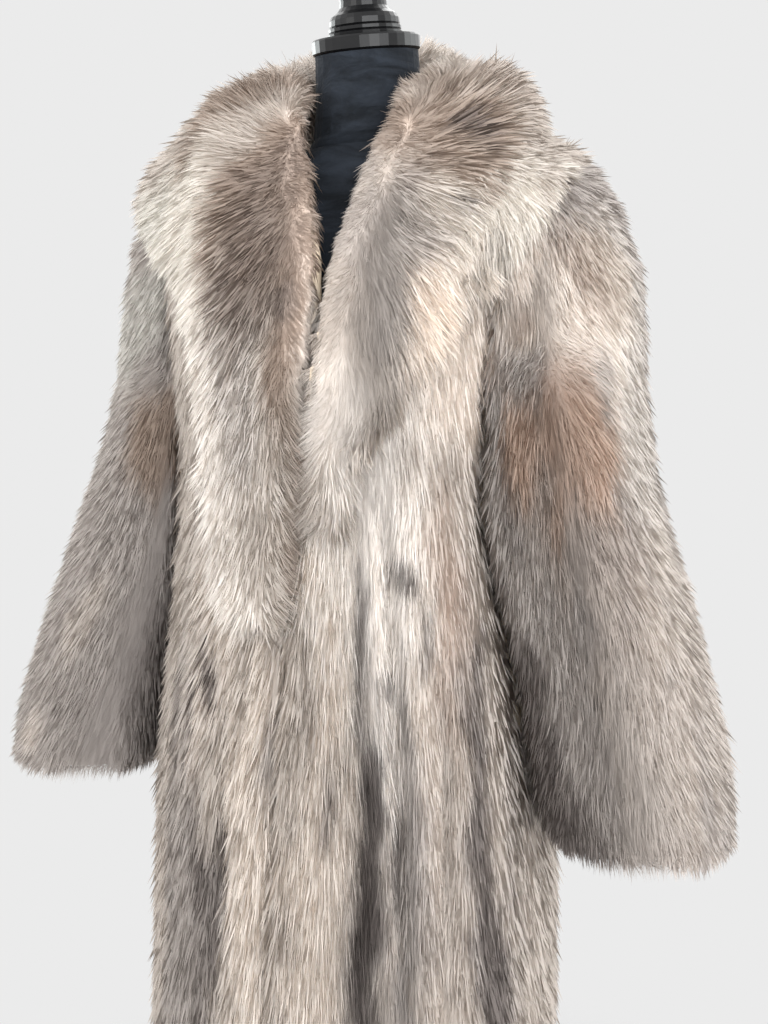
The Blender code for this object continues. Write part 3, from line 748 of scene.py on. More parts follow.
@dataclass
class Panel:
    """One fur panel: a pelt on the form of its solid, and the hair that grows on it."""

    node: str
    slot: str
    flat: tuple[float, float]
    area: float
    hair: Hair
    base: Tone
    patches: tuple[Patch, ...]
    creases: tuple[Crease, ...] = ()
    rests_on: tuple[str, ...] = ("form_torso",)
    hair_depth: float = 0.011
    skin: float = 0.013
    cell: float = 0.0060
    hem_rise: float = 0.014
    hem_run: float = 0.060
    rear_share: float = 0.85
    near: float = 0.004
    bare_beside: tuple[Line, ...] = ()
    edge_draw: float = 0.014
    lies_over: bool = False

    # Pairs are where something sets in and where it is full; rows are strength, size, seed and stretch of a noise.
    SHOULDER_Z, REAR_Y = 1.15, 0.04
    FACING, OUTER = 0.25, (-0.15, 0.35)
    BARE, BARE_DRAW = (0.035, 0.055), (0.055, 0.020)
    LEAST_WALL, PELT_SHARE = 0.35, 0.14
    DRIFT = ((0.16, 0.16, 0, 1.6), (0.13, 0.034, 8, 2.0))
    WOBBLE = ((3.4, 0.085, 3, 1.0), (1.6, 0.028, 4, 1.0))
    UNEVEN = ((0.14, 0.05, 5, 1.8),)
    CREASE_OUT, CREASE_IN = 0.05, 0.06
    PATCH_EDGE, PICK_EDGE = (0.45, 1.25), (-0.18, 0.18)
    DRAG, DRAG_STRAY, PICKS = 0.040, 0.010, (0.2, 0.8)
    # A hair's colour is darker at its root: partly the underfur's own colour, partly painted shade of the fur's depth.
    ROOT_SHADE, ROOT_GAIN, TIP_GAIN = 0.94, 0.06, 0.02
    UPRIGHT, FLAT, SHAKE = 0.94, 0.06, 0.10
    CELL_ACROSS, CELL_START, CELL_ALONG = 0.40, 0.06, 0.88
    SMOOTHING = {"factor": 0.5, "iterations": 14}
    GRAINS = {"drag": (0.0040, 31, 4.0), "lock": (0.011, 23, 2.0), "streak": (0.0040, 41, 6.0),
              "wisp": (0.0055, 29, 3.2), "mottle": (0.026, 37, 1.8), "warmth": (0.018, 47, 2.2)}
    WARM = np.array((0.05, 0.01, -0.09))
    GRAIN_SCALE = np.array((4.2, 937.0, 1.6))

    def layered(self, at: Array, layers: tuple[tuple[float, float, int, float], ...]) -> list[Array]:
        """Layers of noise, each from its strength, size, seed and stretch."""
        return [strength * noise(at, size, self.hair.seed + seed, stretch) for strength, size, seed, stretch in layers]

    def outward(self, at: Array) -> Array:
        """Direction from the wearer to the outside at each place.

        Args:
            at: places, a row each.
        Returns:
            Rows of length 1.
        """
        middle = np.zeros_like(at)
        middle[:, 2] = np.minimum(at[:, 2], self.SHOULDER_Z)
        return unit(at - middle)

    def chart(self, at: Array) -> tuple[Array, Array]:
        """Angle round the wearer in degrees, 0 in front and + to the left, and the height."""
        return np.degrees(np.arctan2(at[:, 0], -at[:, 1])), at[:, 2]

    def flow(self, at: Array, up: Array) -> Array:
        """Direction in which the hair lies."""
        sideways = unit(np.cross(UP, self.outward(at)))
        return flat_on(DOWN + sideways * sum(self.layered(at, self.DRIFT))[:, None], up)

    def reach(self, at: Array, up: Array) -> Array:
        """Length of the hair as a share of the panel's own."""
        return sum(self.layered(at, self.UNEVEN), 1.0)

    def trough(self, at: Array) -> Array:
        """How far the outer side is pushed in.

        Args:
            at: places, a row each.
        Returns:
            Metres for each place.
        """
        angle, height = self.chart(at)
        total = np.zeros(len(at))
        for crease in self.creases:
            middle = crease.angle + crease.lean * (crease.top_z - height)
            off = (angle - middle + 180.0) % 360.0 - 180.0
            along = ease(height, crease.low_z - self.CREASE_OUT, crease.low_z + self.CREASE_IN)
            along *= ease(height, crease.top_z + self.CREASE_OUT, crease.top_z - self.CREASE_IN)
            total += crease.depth * np.exp(-(off / crease.breadth) ** 2) * along
        return total

    def thinned(self, mesh: Mesh, side: Array) -> None:
        """Moves the outer side in by the depth of the hair, and the inner side up if the wall is thick.

        Args:
            mesh: fine copy of the solid's form, changed in place.
            side: 1 where it faces outward, -1 where it faces inward.
        """
        at = places(mesh)
        inner, outer = tree_of(mesh, side < -self.FACING), tree_of(mesh, side > self.FACING)
        deep = self.hair_depth + self.trough(at)
        new = at.copy()
        for number, place in enumerate(at):
            inward = side[number] < -self.FACING
            found = (outer if inward else inner).find_nearest(Vector(place))[0]
            if found is None:
                continue
            run = place - np.array(found)
            thick = np.linalg.norm(run)
            if thick > 1e-5:
                kept = max(thick - deep[number], self.LEAST_WALL * thick)
                if inward:
                    kept = min(thick, deep[number] + self.skin)
                new[number] = np.array(found) + run / thick * kept
        mesh.vertices.foreach_set("co", self.drawn(new).ravel())
        mesh.update()

    def drawn(self, at: Array) -> Array:
        """Places with the hem drawn up, so that the hair ends where the solid does.

        Args:
            at: places, a row each.
        Returns:
            The new places.
        """
        rise = self.hem_rise * np.clip(1.0 - (at[:, 2] - at[:, 2].min()) / self.hem_run, 0.0, 1.0) ** 2
        new = at + rise[:, None] * UP
        for line in self.bare_beside:
            new += (self.edge_draw * ease(far_from(at, line), *self.BARE_DRAW))[:, None] * unit(at * (1.0, 0.35, 0.0))
        return new

    def covered(self, at: Array, up: Array, others: list[BVHTree], start: float = 0.006) -> Array:
        """Where another solid lies close over the surface.

        Args:
            at: places on the solid's form.
            up: normals there.
            others: search trees of the other solids.
            start: how far inside the surface the search begins.
        Returns:
            True for each covered place.
        """
        hidden = np.zeros(len(at), bool)
        for number, (place, normal) in enumerate(zip(at - up * start, up)):
            ray = Vector(place), Vector(normal)
            hidden[number] = any(tree.ray_cast(*ray, start + self.near)[0] is not None for tree in others)
        return hidden

    def tones(self, at: Array, shift: Array, pick: Array | None = None) -> Array:
        """Light colour, dark colour and dark share at each place.

        Args:
            at: places.
            shift: how far along its own lie each hair's shade is taken.
            pick: weight from which a patch takes each hair whole, or None for a smooth blend.
        Returns:
            Seven numbers a place.
        """
        taken = at + shift
        angle, height = self.chart(taken)
        angle = sum(self.layered(taken, self.WOBBLE), angle)
        ragged = 0.36 * noise(taken, 0.028, self.hair.seed + 11, 2.4) + 0.34 * noise(taken, 0.009, 17, 4.0)
        rows = np.tile(self.base.numbers(), (len(at), 1))
        for patch in self.patches:
            off = (angle - patch.x + 180.0) % 360.0 - 180.0
            distance = np.hypot(off / patch.half_width, (height - patch.z) / patch.half_height) + ragged
            weight = patch.strength * (1.0 - ease(distance, *self.PATCH_EDGE))
            if pick is not None:
                weight = ease(weight - pick, *self.PICK_EDGE)
            rows += (patch.tone.numbers() - rows) * weight[:, None]
        return rows

    def tinted(self, at: Array, flow: Array, chance: Array) -> Array:
        """Colour of each hair.

        Args:
            at: roots.
            flow: the way the hair lies.
            chance: random number from 0 to 1 for each hair.
        Returns:
            Linear colours, and how dark each hair is from 0 to 1, in four columns.
        """
        grain = {name: noise(at, size, self.hair.seed + seed, stretch)
                 for name, (size, seed, stretch) in self.GRAINS.items()}
        second, third = (chance * 97.0) % 1.0, (chance * 911.0) % 1.0
        drag = second * self.DRAG + self.DRAG_STRAY * grain["drag"]
        pick = np.clip(0.5 + 0.15 * grain["streak"] + 0.10 * grain["lock"] + 0.50 * (third - 0.5), *self.PICKS)
        rows = self.tones(at, flow * drag[:, None], pick)
        share = rows[:, 6]
        dark = share + np.sqrt(share) * (0.22 * grain["mottle"] + 0.14 * grain["lock"] + 0.10 * grain["wisp"])
        dark += (chance - 0.5) * (0.05 + 1.05 * share)
        dark = np.clip(dark, 0.0, 1.0)
        colour = rows[:, 0:3] + (rows[:, 3:6] - rows[:, 0:3]) * dark[:, None]
        colour = colour * (0.975 + 0.05 * third + 0.02 * grain["lock"])[:, None]
        warmth = 0.7 * grain["warmth"] + 0.6 * (second - 0.5)
        colour = colour * (1.0 + warmth[:, None] * self.WARM)
        return np.column_stack((colour, dark))

    def make_skin(self, node: Object, others: list[BVHTree]) -> Mesh:
        """Fine pelt on the form of the solid, with all that the hair needs to know.

        Args:
            node: the solid's own object.
            others: search trees of the solids that may cover it.
        Returns:
            The mesh.
        """
        merged = node.data.copy()
        work = bmesh.new()
        work.from_mesh(merged)
        bmesh.ops.remove_doubles(work, verts=work.verts, dist=1e-5)
        bmesh.ops.recalc_face_normals(work, faces=work.faces)
        work.to_mesh(merged)
        work.free()
        mesh = changed(merged, self.node + "_skin", [
            ("REMESH", {"mode": "VOXEL", "voxel_size": self.cell}),
            ("SMOOTH", self.SMOOTHING)])
        bpy.data.meshes.remove(merged)
        at, up = places(mesh), normals(mesh)
        hidden = self.covered(at, up, others)
        side = self.sides(at, up, hidden)
        self.thinned(mesh, side)
        for polygon in mesh.polygons:
            polygon.use_smooth = True
        up = normals(mesh)
        growth = ease(side, *self.OUTER) * ~hidden * np.where(at[:, 1] > self.REAR_Y, self.rear_share, 1.0)
        for line in self.bare_beside:
            growth *= ease(far_from(at, line), *self.BARE)
        flow = self.flow(at, up)
        put(mesh, "growth", "FLOAT", growth)
        put(mesh, "up", "FLOAT_VECTOR", up)
        put(mesh, "flow", "FLOAT_VECTOR", flow)
        put(mesh, "reach", "FLOAT", self.reach(at, up))
        rows = self.tones(at, flow * 0.0)
        mean = rows[:, 0:3] * (1.0 - rows[:, 6:7]) + rows[:, 3:6] * rows[:, 6:7]
        put(mesh, "tint", "FLOAT_COLOR", np.column_stack((mean, np.ones(len(mean)))))
        return mesh

    def sides(self, at: Array, up: Array, hidden: Array) -> Array:
        """1 where the surface faces outward and -1 where it faces the wearer."""
        return (up * self.outward(at)).sum(1)

    def make_fur(self, skin: Mesh, grower: FurTree, strands: Strands,
                 material: Material) -> Object:
        """Hair of the panel as one plain mesh.

        Args:
            skin: mesh it grows on.
            grower: the tree that grows it.
            strands: the hair shapes.
            material: its finish.
        Returns:
            The object.
        """
        hair = self.hair
        growth = column(skin, "growth")
        ground = 0.0
        for face in skin.polygons:
            ground += face.area * sum(growth[v] for v in face.vertices) / len(face.vertices)
        scale = 1.0
        mesh = grower.grow(f"fur_{self.node}", skin, {
            "Density": hair.count * scale / ground, "Length": hair.length, "Width": hair.width / math.sqrt(scale),
            "Lift": hair.lift, "Bend": hair.bend, "Spread": hair.spread, "Clump": hair.clump,
            "Pull": hair.pull, "Seed": hair.seed, "Strands": strands.collection, "Material": material})
        root, run, up, flow, side = (column(mesh, name) for name in ("root", "run", "up", "flow", "side"))
        along, across, chance, serial = (column(mesh, name) for name in ("along", "across", "rnd", "serial"))
        tint = self.tinted(root, flow, chance)
        dark = tint[:, 3]
        # depth darkens each hair toward its root: partly underfur colour, partly painted shade of the fur's depth.
        depth = self.ROOT_SHADE + self.ROOT_GAIN * ease(along, 0.0, 0.40)
        depth = depth + self.TIP_GAIN * (along > 0.9) * (1.0 - 2.5 * dark)
        put(mesh, "grain", "FLOAT_VECTOR", np.column_stack((across, chance, along)) * self.GRAIN_SCALE)
        put(mesh, "tint", "FLOAT_COLOR", np.column_stack((tint[:, :3] * depth[:, None], np.ones(len(tint)))))
        flat = np.cross(side, unit(run))
        flat *= np.sign((flat * up).sum(1, keepdims=True) + 1e-9)
        shake = np.column_stack([(chance * prime) % 1.0 - 0.5 for prime in (31.0, 173.0, 577.0)])
        for polygon in mesh.polygons:
            polygon.use_smooth = True
        bent = unit(up * self.UPRIGHT + flat * self.FLAT + shake * self.SHAKE)
        mesh.normals_split_custom_set_from_vertices(bent.tolist())
        self.lay_out(mesh, root, serial, along, across)
        for name in ("root", "run", "up", "flow", "side", "along", "across", "rnd", "serial", "reach", "growth"):
            mesh.attributes.remove(mesh.attributes[name])
        return placed(f"fur_{self.node}", mesh)

    def lay_out(self, mesh: Mesh, root: Array, serial: Array, along: Array,
                across: Array) -> None:
        """UV map with a cell of its own for each hair, cells in rows by height and columns by angle.

        Args:
            mesh: the hairs, changed in place.
            root, serial: root and number of the hair of each vertex.
            along, across: where each vertex is on its hair.
        """
        hairs, first, which = np.unique(serial, return_index=True, return_inverse=True)
        angle, height = self.chart(root[first])
        number = math.ceil(math.sqrt(len(hairs)))
        row = np.empty(len(hairs), int)
        row[np.argsort(height)] = np.arange(len(hairs)) // number
        order = np.lexsort((angle, row))
        place = np.empty(len(hairs), int)
        place[order] = np.arange(len(hairs)) % number
        u = (place[which] + 0.5 + across * self.CELL_ACROSS) / number
        v = (row[which] + self.CELL_START + along * self.CELL_ALONG) / number
        corners = np.empty(len(mesh.loops), np.int32)
        mesh.loops.foreach_get("vertex_index", corners)
        mesh.uv_layers.new(name="OFBake").data.foreach_set("uv", np.column_stack((u, v))[corners].ravel())

    def make_pelt(self, skin: Mesh, material: Material) -> Object:
        """Pelt of the panel, lighter than the mesh that the hair grew on.

        Args:
            skin: mesh that the hair grew on.
            material: its finish.
        Returns:
            The object.
        """
        mesh = changed(skin, f"pelt_{self.node}", [("DECIMATE", {"ratio": self.PELT_SHARE})])
        for name in ("up", "flow", "reach"):
            mesh.attributes.remove(mesh.attributes[name])
        mesh.materials.clear()
        mesh.materials.append(material)
        return placed(mesh.name, mesh)

    def build(self, nodes: dict, trees: dict, grower: FurTree, strands: Strands, hair_finish: Material,
              pelt_finish: Material) -> None:
        """Makes the pelt and the fur, and attaches both to the root body.

        Args:
            nodes: the frame's objects by name.
            trees: search trees of the garment's solids by name.
            grower, strands: what the hair is grown with.
            hair_finish, pelt_finish: the materials.
        """
        others = [tree for name, tree in trees.items() if name != self.node]
        skin = self.make_skin(nodes[self.node], others)
        if self.lies_over:
            trees[self.node] = tree_of(skin)
        fur = self.make_fur(skin, grower, strands, hair_finish)
        pelt = self.make_pelt(skin, pelt_finish)
        bpy.data.meshes.remove(skin)
        for piece in (pelt, fur):
            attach(piece, "root")
        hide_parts(self.node)
        log.info("%s: pelt %d faces, half its surface %.3f m2, fur %d faces", self.node, len(pelt.data.polygons),
                 sum(face.area for face in pelt.data.polygons) / 2.0, len(fur.data.polygons))


@dataclass(kw_only=True)
class Sleeve(Panel):
    """Sleeve, whose hair spreads from the upper arm and stands off to the outside lower down."""

    axis: Line
    whorl: Whorl
    hand: float = 1.0

    FOREARM, CUFF, CUFF_HAIR = (1.30, 1.05), (0.92, 0.80), (0.86, 0.78)
    OUTER_SWEEP, INNER_SWEEP, SIDE_DRIFT, STRAY = 0.19, 0.12, 0.12, 0.20

    def outward(self, at: Array) -> Array:
        """Direction away from the arm."""
        return unit(off_line(at, self.axis))

    def chart(self, at: Array) -> tuple[Array, Array]:
        """Angle round the arm in degrees, 0 in front and + away from the body, and the height."""
        run = off_line(at, self.axis)
        return np.degrees(np.arctan2(self.hand * run[:, 0], -run[:, 1])), at[:, 2]

    def flow(self, at: Array, up: Array) -> Array:
        """Down the arm, away from the whorl near it, and outward at the outer side.

        Args:
            at: places, a row each.
            up: the surface's normals there.
        Returns:
            Rows no longer than 1, shorter where the hair stands up.
        """
        angle, height = self.chart(at)
        outer = np.sin(np.radians(angle)) * ease(height, *self.FOREARM)
        outer *= 1.0 - 0.7 * ease(height, *self.CUFF)
        lateral = np.zeros_like(at)
        lateral[:, 0] = self.hand * (self.OUTER_SWEEP * np.clip(outer, 0.0, 1.0)
                                     - self.INNER_SWEEP * np.clip(-outer, 0.0, 1.0))
        lateral[:, 0] += self.SIDE_DRIFT * noise(at, 0.13, self.hair.seed, 1.6)
        down = np.array(self.axis[-1]) - np.array(self.axis[2])
        near = self.whorl.pull(at)[:, None]
        run = unit(down / np.linalg.norm(down) + lateral) * (1.0 - near) + unit(self.whorl.away(at)) * near
        run += self.STRAY * np.column_stack([noise(at, 0.04, self.hair.seed + n) for n in (1, 2, 3)])
        return flat_on(run, up) * self.whorl.lie(at)[:, None]

    def reach(self, at: Array, up: Array) -> Array:
        """Shorter toward the cuff."""
        return super().reach(at, up) * (1.0 - 0.30 * ease(at[:, 2], *self.CUFF_HAIR))


@dataclass(kw_only=True)
class Collar(Panel):
    """Half of the shawl collar, whose hair spreads outward over the lapel and from the neck behind.

    The pairs in capitals are heights, depths or distances from the roll between which something sets in.
    """

    roll: Line
    hand: float = 1.0
    rim_draw: float = 0.032
    neck_draw: float = 0.002
    shoulder_drop: float = 0.0
    top_reach: float = 0.0

    ON_COAT, OFF_ROLL = (-0.94, -0.86), 0.045
    LAPEL, RIM = (0.015, 0.095), (0.070, 0.130)
    CROWN, CHEST, NECK, FOOT = (1.37, 1.48), (1.39, 1.22), (1.45, 1.37), (1.34, 1.14)
    BEHIND, BEFORE, BEHIND_Z = (-0.045, 0.035), (0.0, 0.03), 1.50
    INNER, INNER_FAR, INNER_TOP = (-0.35, 0.15), (0.060, 0.045), (1.46, 1.42)
    FALL, NECK_FALL, LEAN = (1.50, 1.36), (1.46, 1.36), (0.036, 0.008)
    STRAYS = ((0.030, 0.34, 1), (0.011, 0.20, 5))
    SHORT_FOOT, SHORT_NECK, FULL = (1.24, 1.10), (1.40, 1.48), (0.015, 0.075)
    TOP, TOP_IN, TOP_OUT = (1.36, 1.41), (0.03, 0.055), (0.115, 0.090)
    RIM_TOP, RIM_OUT = (1.30, 1.35), (0.100, 0.125)
    DRAW, DROP, DROP_Z = (0.05, 0.15), (0.05, 0.11), (1.35, 1.40)
    NECK_DRAW, NECK_Y = (0.05, 0.0), (0.02, -0.06)

    def sides(self, at: Array, up: Array, hidden: Array) -> Array:
        """-1 where the collar lies on the coat or faces it, and 1 elsewhere."""
        below = (up[:, 2] < self.ON_COAT[0]) | ((up * super().outward(at)).sum(1) < self.ON_COAT[1])
        return np.where(hidden | (below & (far_from(at, self.roll) > self.OFF_ROLL)), -1.0, 1.0)

    def front(self, at: Array, far: Array) -> Array:
        """Way the hair takes in front: outward over the lapel, up toward its top and down toward its foot.

        Args:
            at: places, a row each.
            far: distance of each from the roll.
        Returns:
            Rows of length 1.
        """
        height = at[:, 2]
        out = ease(far, *self.LAPEL)
        climb = ease(height, *self.CROWN) - 1.5 * ease(height, *self.CHEST) + 0.25 * noise(at, 0.06, self.hair.seed)
        climb -= 0.6 * (1.0 - out) * ease(height, *self.NECK) + 1.7 * ease(far, *self.RIM)
        across = np.array((self.hand, -0.20, 0.0)) * (
            (1.0 - 0.74 * ease(height, *self.FOOT)) * (0.40 + 0.60 * out))[:, None]
        return unit(across + climb[:, None] * UP)

    def flow(self, at: Array, up: Array) -> Array:
        """As in front, away from the neck behind, toward the neck at the roll and over it on the inner side.

        Args:
            at: places, a row each.
            up: the surface's normals there.
        Returns:
            Rows no longer than 1, shorter where the hair parts.
        """
        height = at[:, 2]
        from_roll = off_line(at, self.roll)
        far = np.linalg.norm(from_roll, axis=1)
        behind = unit(at - np.array((0.0, 0.0, self.BEHIND_Z))) + DOWN * 0.25
        share = ease(at[:, 1], *self.BEHIND)[:, None]
        run = self.front(at, far) * (1.0 - share) + behind * share
        before = 1.0 - ease(at[:, 1], *self.BEFORE)
        inside = ease(-(unit(at * (1.0, 1.0, 0.0)) * up).sum(1), *self.INNER) * ease(far, *self.INNER_FAR)
        inside *= before * ease(height, *self.INNER_TOP)
        over = unit(from_roll) * 0.7 + DOWN * ease(height, *self.FALL)[:, None] + (0.0, 0.0, 0.15)
        ragged = far + 0.009 * noise(at, 0.024, self.hair.seed + 13) + 0.004 * noise(at, 0.009, self.hair.seed + 14)
        neckward = np.array((-self.hand, -0.15, 0.0)) + DOWN * (0.25 + 0.5 * ease(height, *self.NECK_FALL))[:, None]
        lean = ease(ragged, *self.LEAN) * before
        run = run * (1.0 - lean)[:, None] + neckward * lean[:, None]
        run = run * (1.0 - inside)[:, None] + over * inside[:, None]
        for size, strength, first in self.STRAYS:
            run += strength * np.column_stack([noise(at, size, self.hair.seed + first + n) for n in range(3)])
        parting = np.exp(-((lean - 0.5) / 0.28) ** 2) * before
        return flat_on(run, up) * (1.0 - 0.62 * parting)[:, None]

    def reach(self, at: Array, up: Array) -> Array:
        """Shorter beside the neck and at the rim over the shoulder, and changed by top_reach over the lapel's top.

        Args:
            at: places, a row each.
            up: the surface's normals there.
        Returns:
            Share for each place.
        """
        height, far = at[:, 2], far_from(at, self.roll)
        inside = (at * up)[:, :2].sum(1) < 0.0
        least = 0.25 + 0.50 * ease(height, *self.SHORT_FOOT) + 0.30 * ease(height, *self.SHORT_NECK)
        edge = least + (1.0 - least) * ease(far, *self.FULL)
        upper = self.top_reach * ease(height, *self.TOP) * ease(far, *self.TOP_IN) * ease(far, *self.TOP_OUT)
        rim = max(self.top_reach, 0.0) * ease(height, *self.RIM_TOP) * ease(far, *self.RIM_OUT)
        edge = edge * (1.0 + upper - 1.2 * rim)
        return super().reach(at, up) * np.where(inside & (height > 1.2), 0.48, edge)

    def drawn(self, at: Array) -> Array:
        """Places with the outer rim drawn in toward the roll.

        Args:
            at: places, a row each.
        Returns:
            The new places.
        """
        run = off_line(at, self.roll)
        far = np.linalg.norm(run, axis=1)
        new = at - run * (self.rim_draw * ease(far, *self.DRAW) / np.maximum(far, 1e-6))[:, None]
        new[:, 2] -= self.shoulder_drop * ease(far, *self.DROP) * ease(at[:, 2], *self.DROP_Z)
        new[:, 0] += self.hand * self.neck_draw * ease(far, *self.NECK_DRAW) * ease(at[:, 1], *self.NECK_Y)
        return new


@dataclass
class DressForm:
    """Velvet form, lacquered cap and finial, and satin stand, on the meshes of their own solids."""

    velvet: SolidFinish
    lacquer: SolidFinish
    metal: SolidFinish

    def build(self, nodes: dict) -> None:
        """Gives each solid its finish.

        Args:
            nodes: the frame's objects by name.
        """
        finishes = {"form_torso": self.velvet, "neck_cap": self.lacquer, "finial": self.lacquer,
                    "pole_flange": self.metal, "pole": self.metal, "base": self.metal}
        made = {finish.name: finish.make() for finish in (self.velvet, self.lacquer, self.metal)}
        for name, finish in finishes.items():
            mesh = nodes[name].data
            mesh.materials.clear()
            mesh.materials.append(made[finish.name])
            log.info("%s: %s", name, finish.name)


@dataclass
class Studio:
    """Pale floor, even pale surroundings, soft lamps and the camera."""

    distance: float = 0.911
    turn: float = math.radians(16.0)
    tilt: float = math.radians(8.0)
    aside: float = 0.023
    height: float = 1.193
    lens: float = 31.64
    backdrop: Triple = linear(235, 235, 235)
    ambient: float = 2.16
    floor_radius: float = 2.6
    floor_sides: int = 96
    floor_grey: float = 0.16
    fade_from: float = 0.22
    fade_share: float = 0.32
    aim_z: float = 1.0

    def build(self) -> None:
        """Makes all of it."""
        scene = bpy.context.scene
        scene.view_settings.view_transform = "Standard"
        self.make_world(scene)
        self.make_floor()
        self.add_lamp("key", (-1.5, -2.3, 2.5), 1.8, 66.0, (1.0, 0.995, 0.985))
        self.add_lamp("fill", (1.7, -2.5, 1.5), 2.4, 192.0, (0.97, 0.985, 1.0))
        self.add_lamp("rim_left", (-2.1, 1.1, 1.9), 1.5, 45.0, (0.94, 1.0, 1.0))
        self.add_lamp("rim_right", (2.2, 1.0, 1.7), 1.5, 45.0, (0.96, 1.0, 1.0))
        self.add_lamp("top", (0.2, 0.9, 2.9), 1.6, 20.0, (1.0, 1.0, 1.0))
        self.add_camera(scene)

    def make_world(self, scene: Scene) -> None:
        """Surroundings that look pale and light the object evenly.

        Args:
            scene: the scene that it surrounds.
        """
        world = bpy.data.worlds.new("studio")
        scene.world = world
        world.use_nodes = True
        tree = Tree(world.node_tree)
        seen = tree.add("ShaderNodeLightPath").outputs["Is Camera Ray"]
        light = tree.blend(seen, (self.ambient,) * 3, self.backdrop)
        tree.link(light, world.node_tree.nodes["Background"].inputs["Color"])

    def make_floor(self) -> None:
        """Round floor that fades into the surroundings."""
        work = bmesh.new()
        bmesh.ops.create_circle(work, cap_ends=True, segments=self.floor_sides, radius=self.floor_radius)
        mesh = bpy.data.meshes.new("floor")
        work.to_mesh(mesh)
        work.free()
        material, tree, shader = new_material("floor")
        shader.inputs["Base Color"].default_value = (*[self.floor_grey] * 3, 1.0)
        shader.inputs["Roughness"].default_value = 0.8
        place = tree.add("ShaderNodeTexCoord").outputs["Object"]
        far = tree.vector("LENGTH", place, (0.0, 0.0, 0.0))
        fade = tree.span(far, 1.0, 0.0, self.fade_from, self.floor_radius * self.fade_share,
                         interpolation_type="SMOOTHSTEP")
        tree.link(fade, shader.inputs["Alpha"])
        mesh.materials.append(material)
        floor = placed("floor", mesh)
        floor.location.z = -0.001

    def add_lamp(self, name: str, place: Triple, size: float,
                 power: float, colour: Triple) -> None:
        """Square soft lamp that faces the coat's chest.

        Args:
            name: the lamp's name.
            place: where it stands.
            size: its side.
            power: watts.
            colour: its light.
        """
        lamp = bpy.data.lights.new(name, "AREA")
        lamp.size, lamp.energy, lamp.color = size, power, colour
        item = placed(name, lamp)
        item.location = place
        item.rotation_euler = (Vector((0.0, 0.0, self.aim_z)) - Vector(place)).to_track_quat("-Z", "Y").to_euler()

    def add_camera(self, scene: Scene) -> None:
        """Camera a little to the coat's left side, looking slightly down.

        Args:
            scene: the scene that it shows.
        """
        sine, cosine = math.sin(self.turn), math.cos(self.turn)
        right = Vector((cosine, sine, 0.0))
        ahead = Vector((-sine * math.cos(self.tilt), cosine * math.cos(self.tilt), -math.sin(self.tilt)))
        above = right.cross(ahead)
        data = bpy.data.cameras.new("camera")
        data.lens, data.sensor_width, data.sensor_fit = self.lens, 36.0, "AUTO"
        camera = placed("camera", data)
        place = Vector((sine, -cosine, 0.0)) * self.distance + right * self.aside
        place.z = self.height
        turned = Matrix((right, above, -ahead)).transposed()
        camera.matrix_world = Matrix.Translation(place) @ turned.to_4x4()
        scene.camera = camera


def patches(*rows: tuple) -> tuple[Patch, ...]:
    """Patches from rows of angle, height, half width, half height, tone and strength."""
    return tuple(Patch(*row) for row in rows)


WHITE, IVORY, CREAM, PEACH, BEIGE, GREY, BROWN, RUST, DARK, COOL = Tone

BODY_HAIR = dict(length=0.044, width=0.00032, clump=0.008, lift=math.radians(14.0), spread=0.14)
SLEEVE_HAIR = dict(length=0.032, width=0.00034, lift=math.radians(20.0))
COLLAR_HAIR = dict(length=0.046, width=0.00034, lift=math.radians(18), spread=0.18, count=86_000)

ROLL_LEFT = ((-0.001, -0.164, 1.080), (0.005, -0.178, 1.196), (0.020, -0.162, 1.300), (0.043, -0.114, 1.390),
             (0.067, -0.048, 1.466), (0.077, 0.022, 1.511), (0.046, 0.073, 1.536), (0.0, 0.086, 1.541))
ROLL_RIGHT = ((-0.024, -0.164, 0.986), (-0.013, -0.168, 1.064), (0.002, -0.172, 1.186), (0.010, -0.158, 1.300),
              (-0.009, -0.114, 1.390), (-0.034, -0.052, 1.470), (-0.052, 0.022, 1.521), (-0.040, 0.073, 1.539),
              (0.0, 0.086, 1.541))
AXIS_LEFT = ((0.05, 0.0, 1.34), (0.144, -0.006, 1.312), (0.178, -0.014, 1.264), (0.193, -0.026, 1.190),
             (0.205, -0.036, 1.110), (0.225, -0.042, 1.030), (0.250, -0.046, 0.950), (0.270, -0.050, 0.870),
             (0.284, -0.053, 0.785), (0.290, -0.055, 0.730))
AXIS_RIGHT = ((-0.05, 0.0, 1.34), (-0.140, 0.004, 1.310), (-0.170, 0.012, 1.262), (-0.192, 0.020, 1.190),
              (-0.217, 0.022, 1.110), (-0.245, 0.018, 1.030), (-0.274, 0.010, 0.950), (-0.301, 0.002, 0.870),
              (-0.324, -0.006, 0.785), (-0.332, -0.008, 0.730))

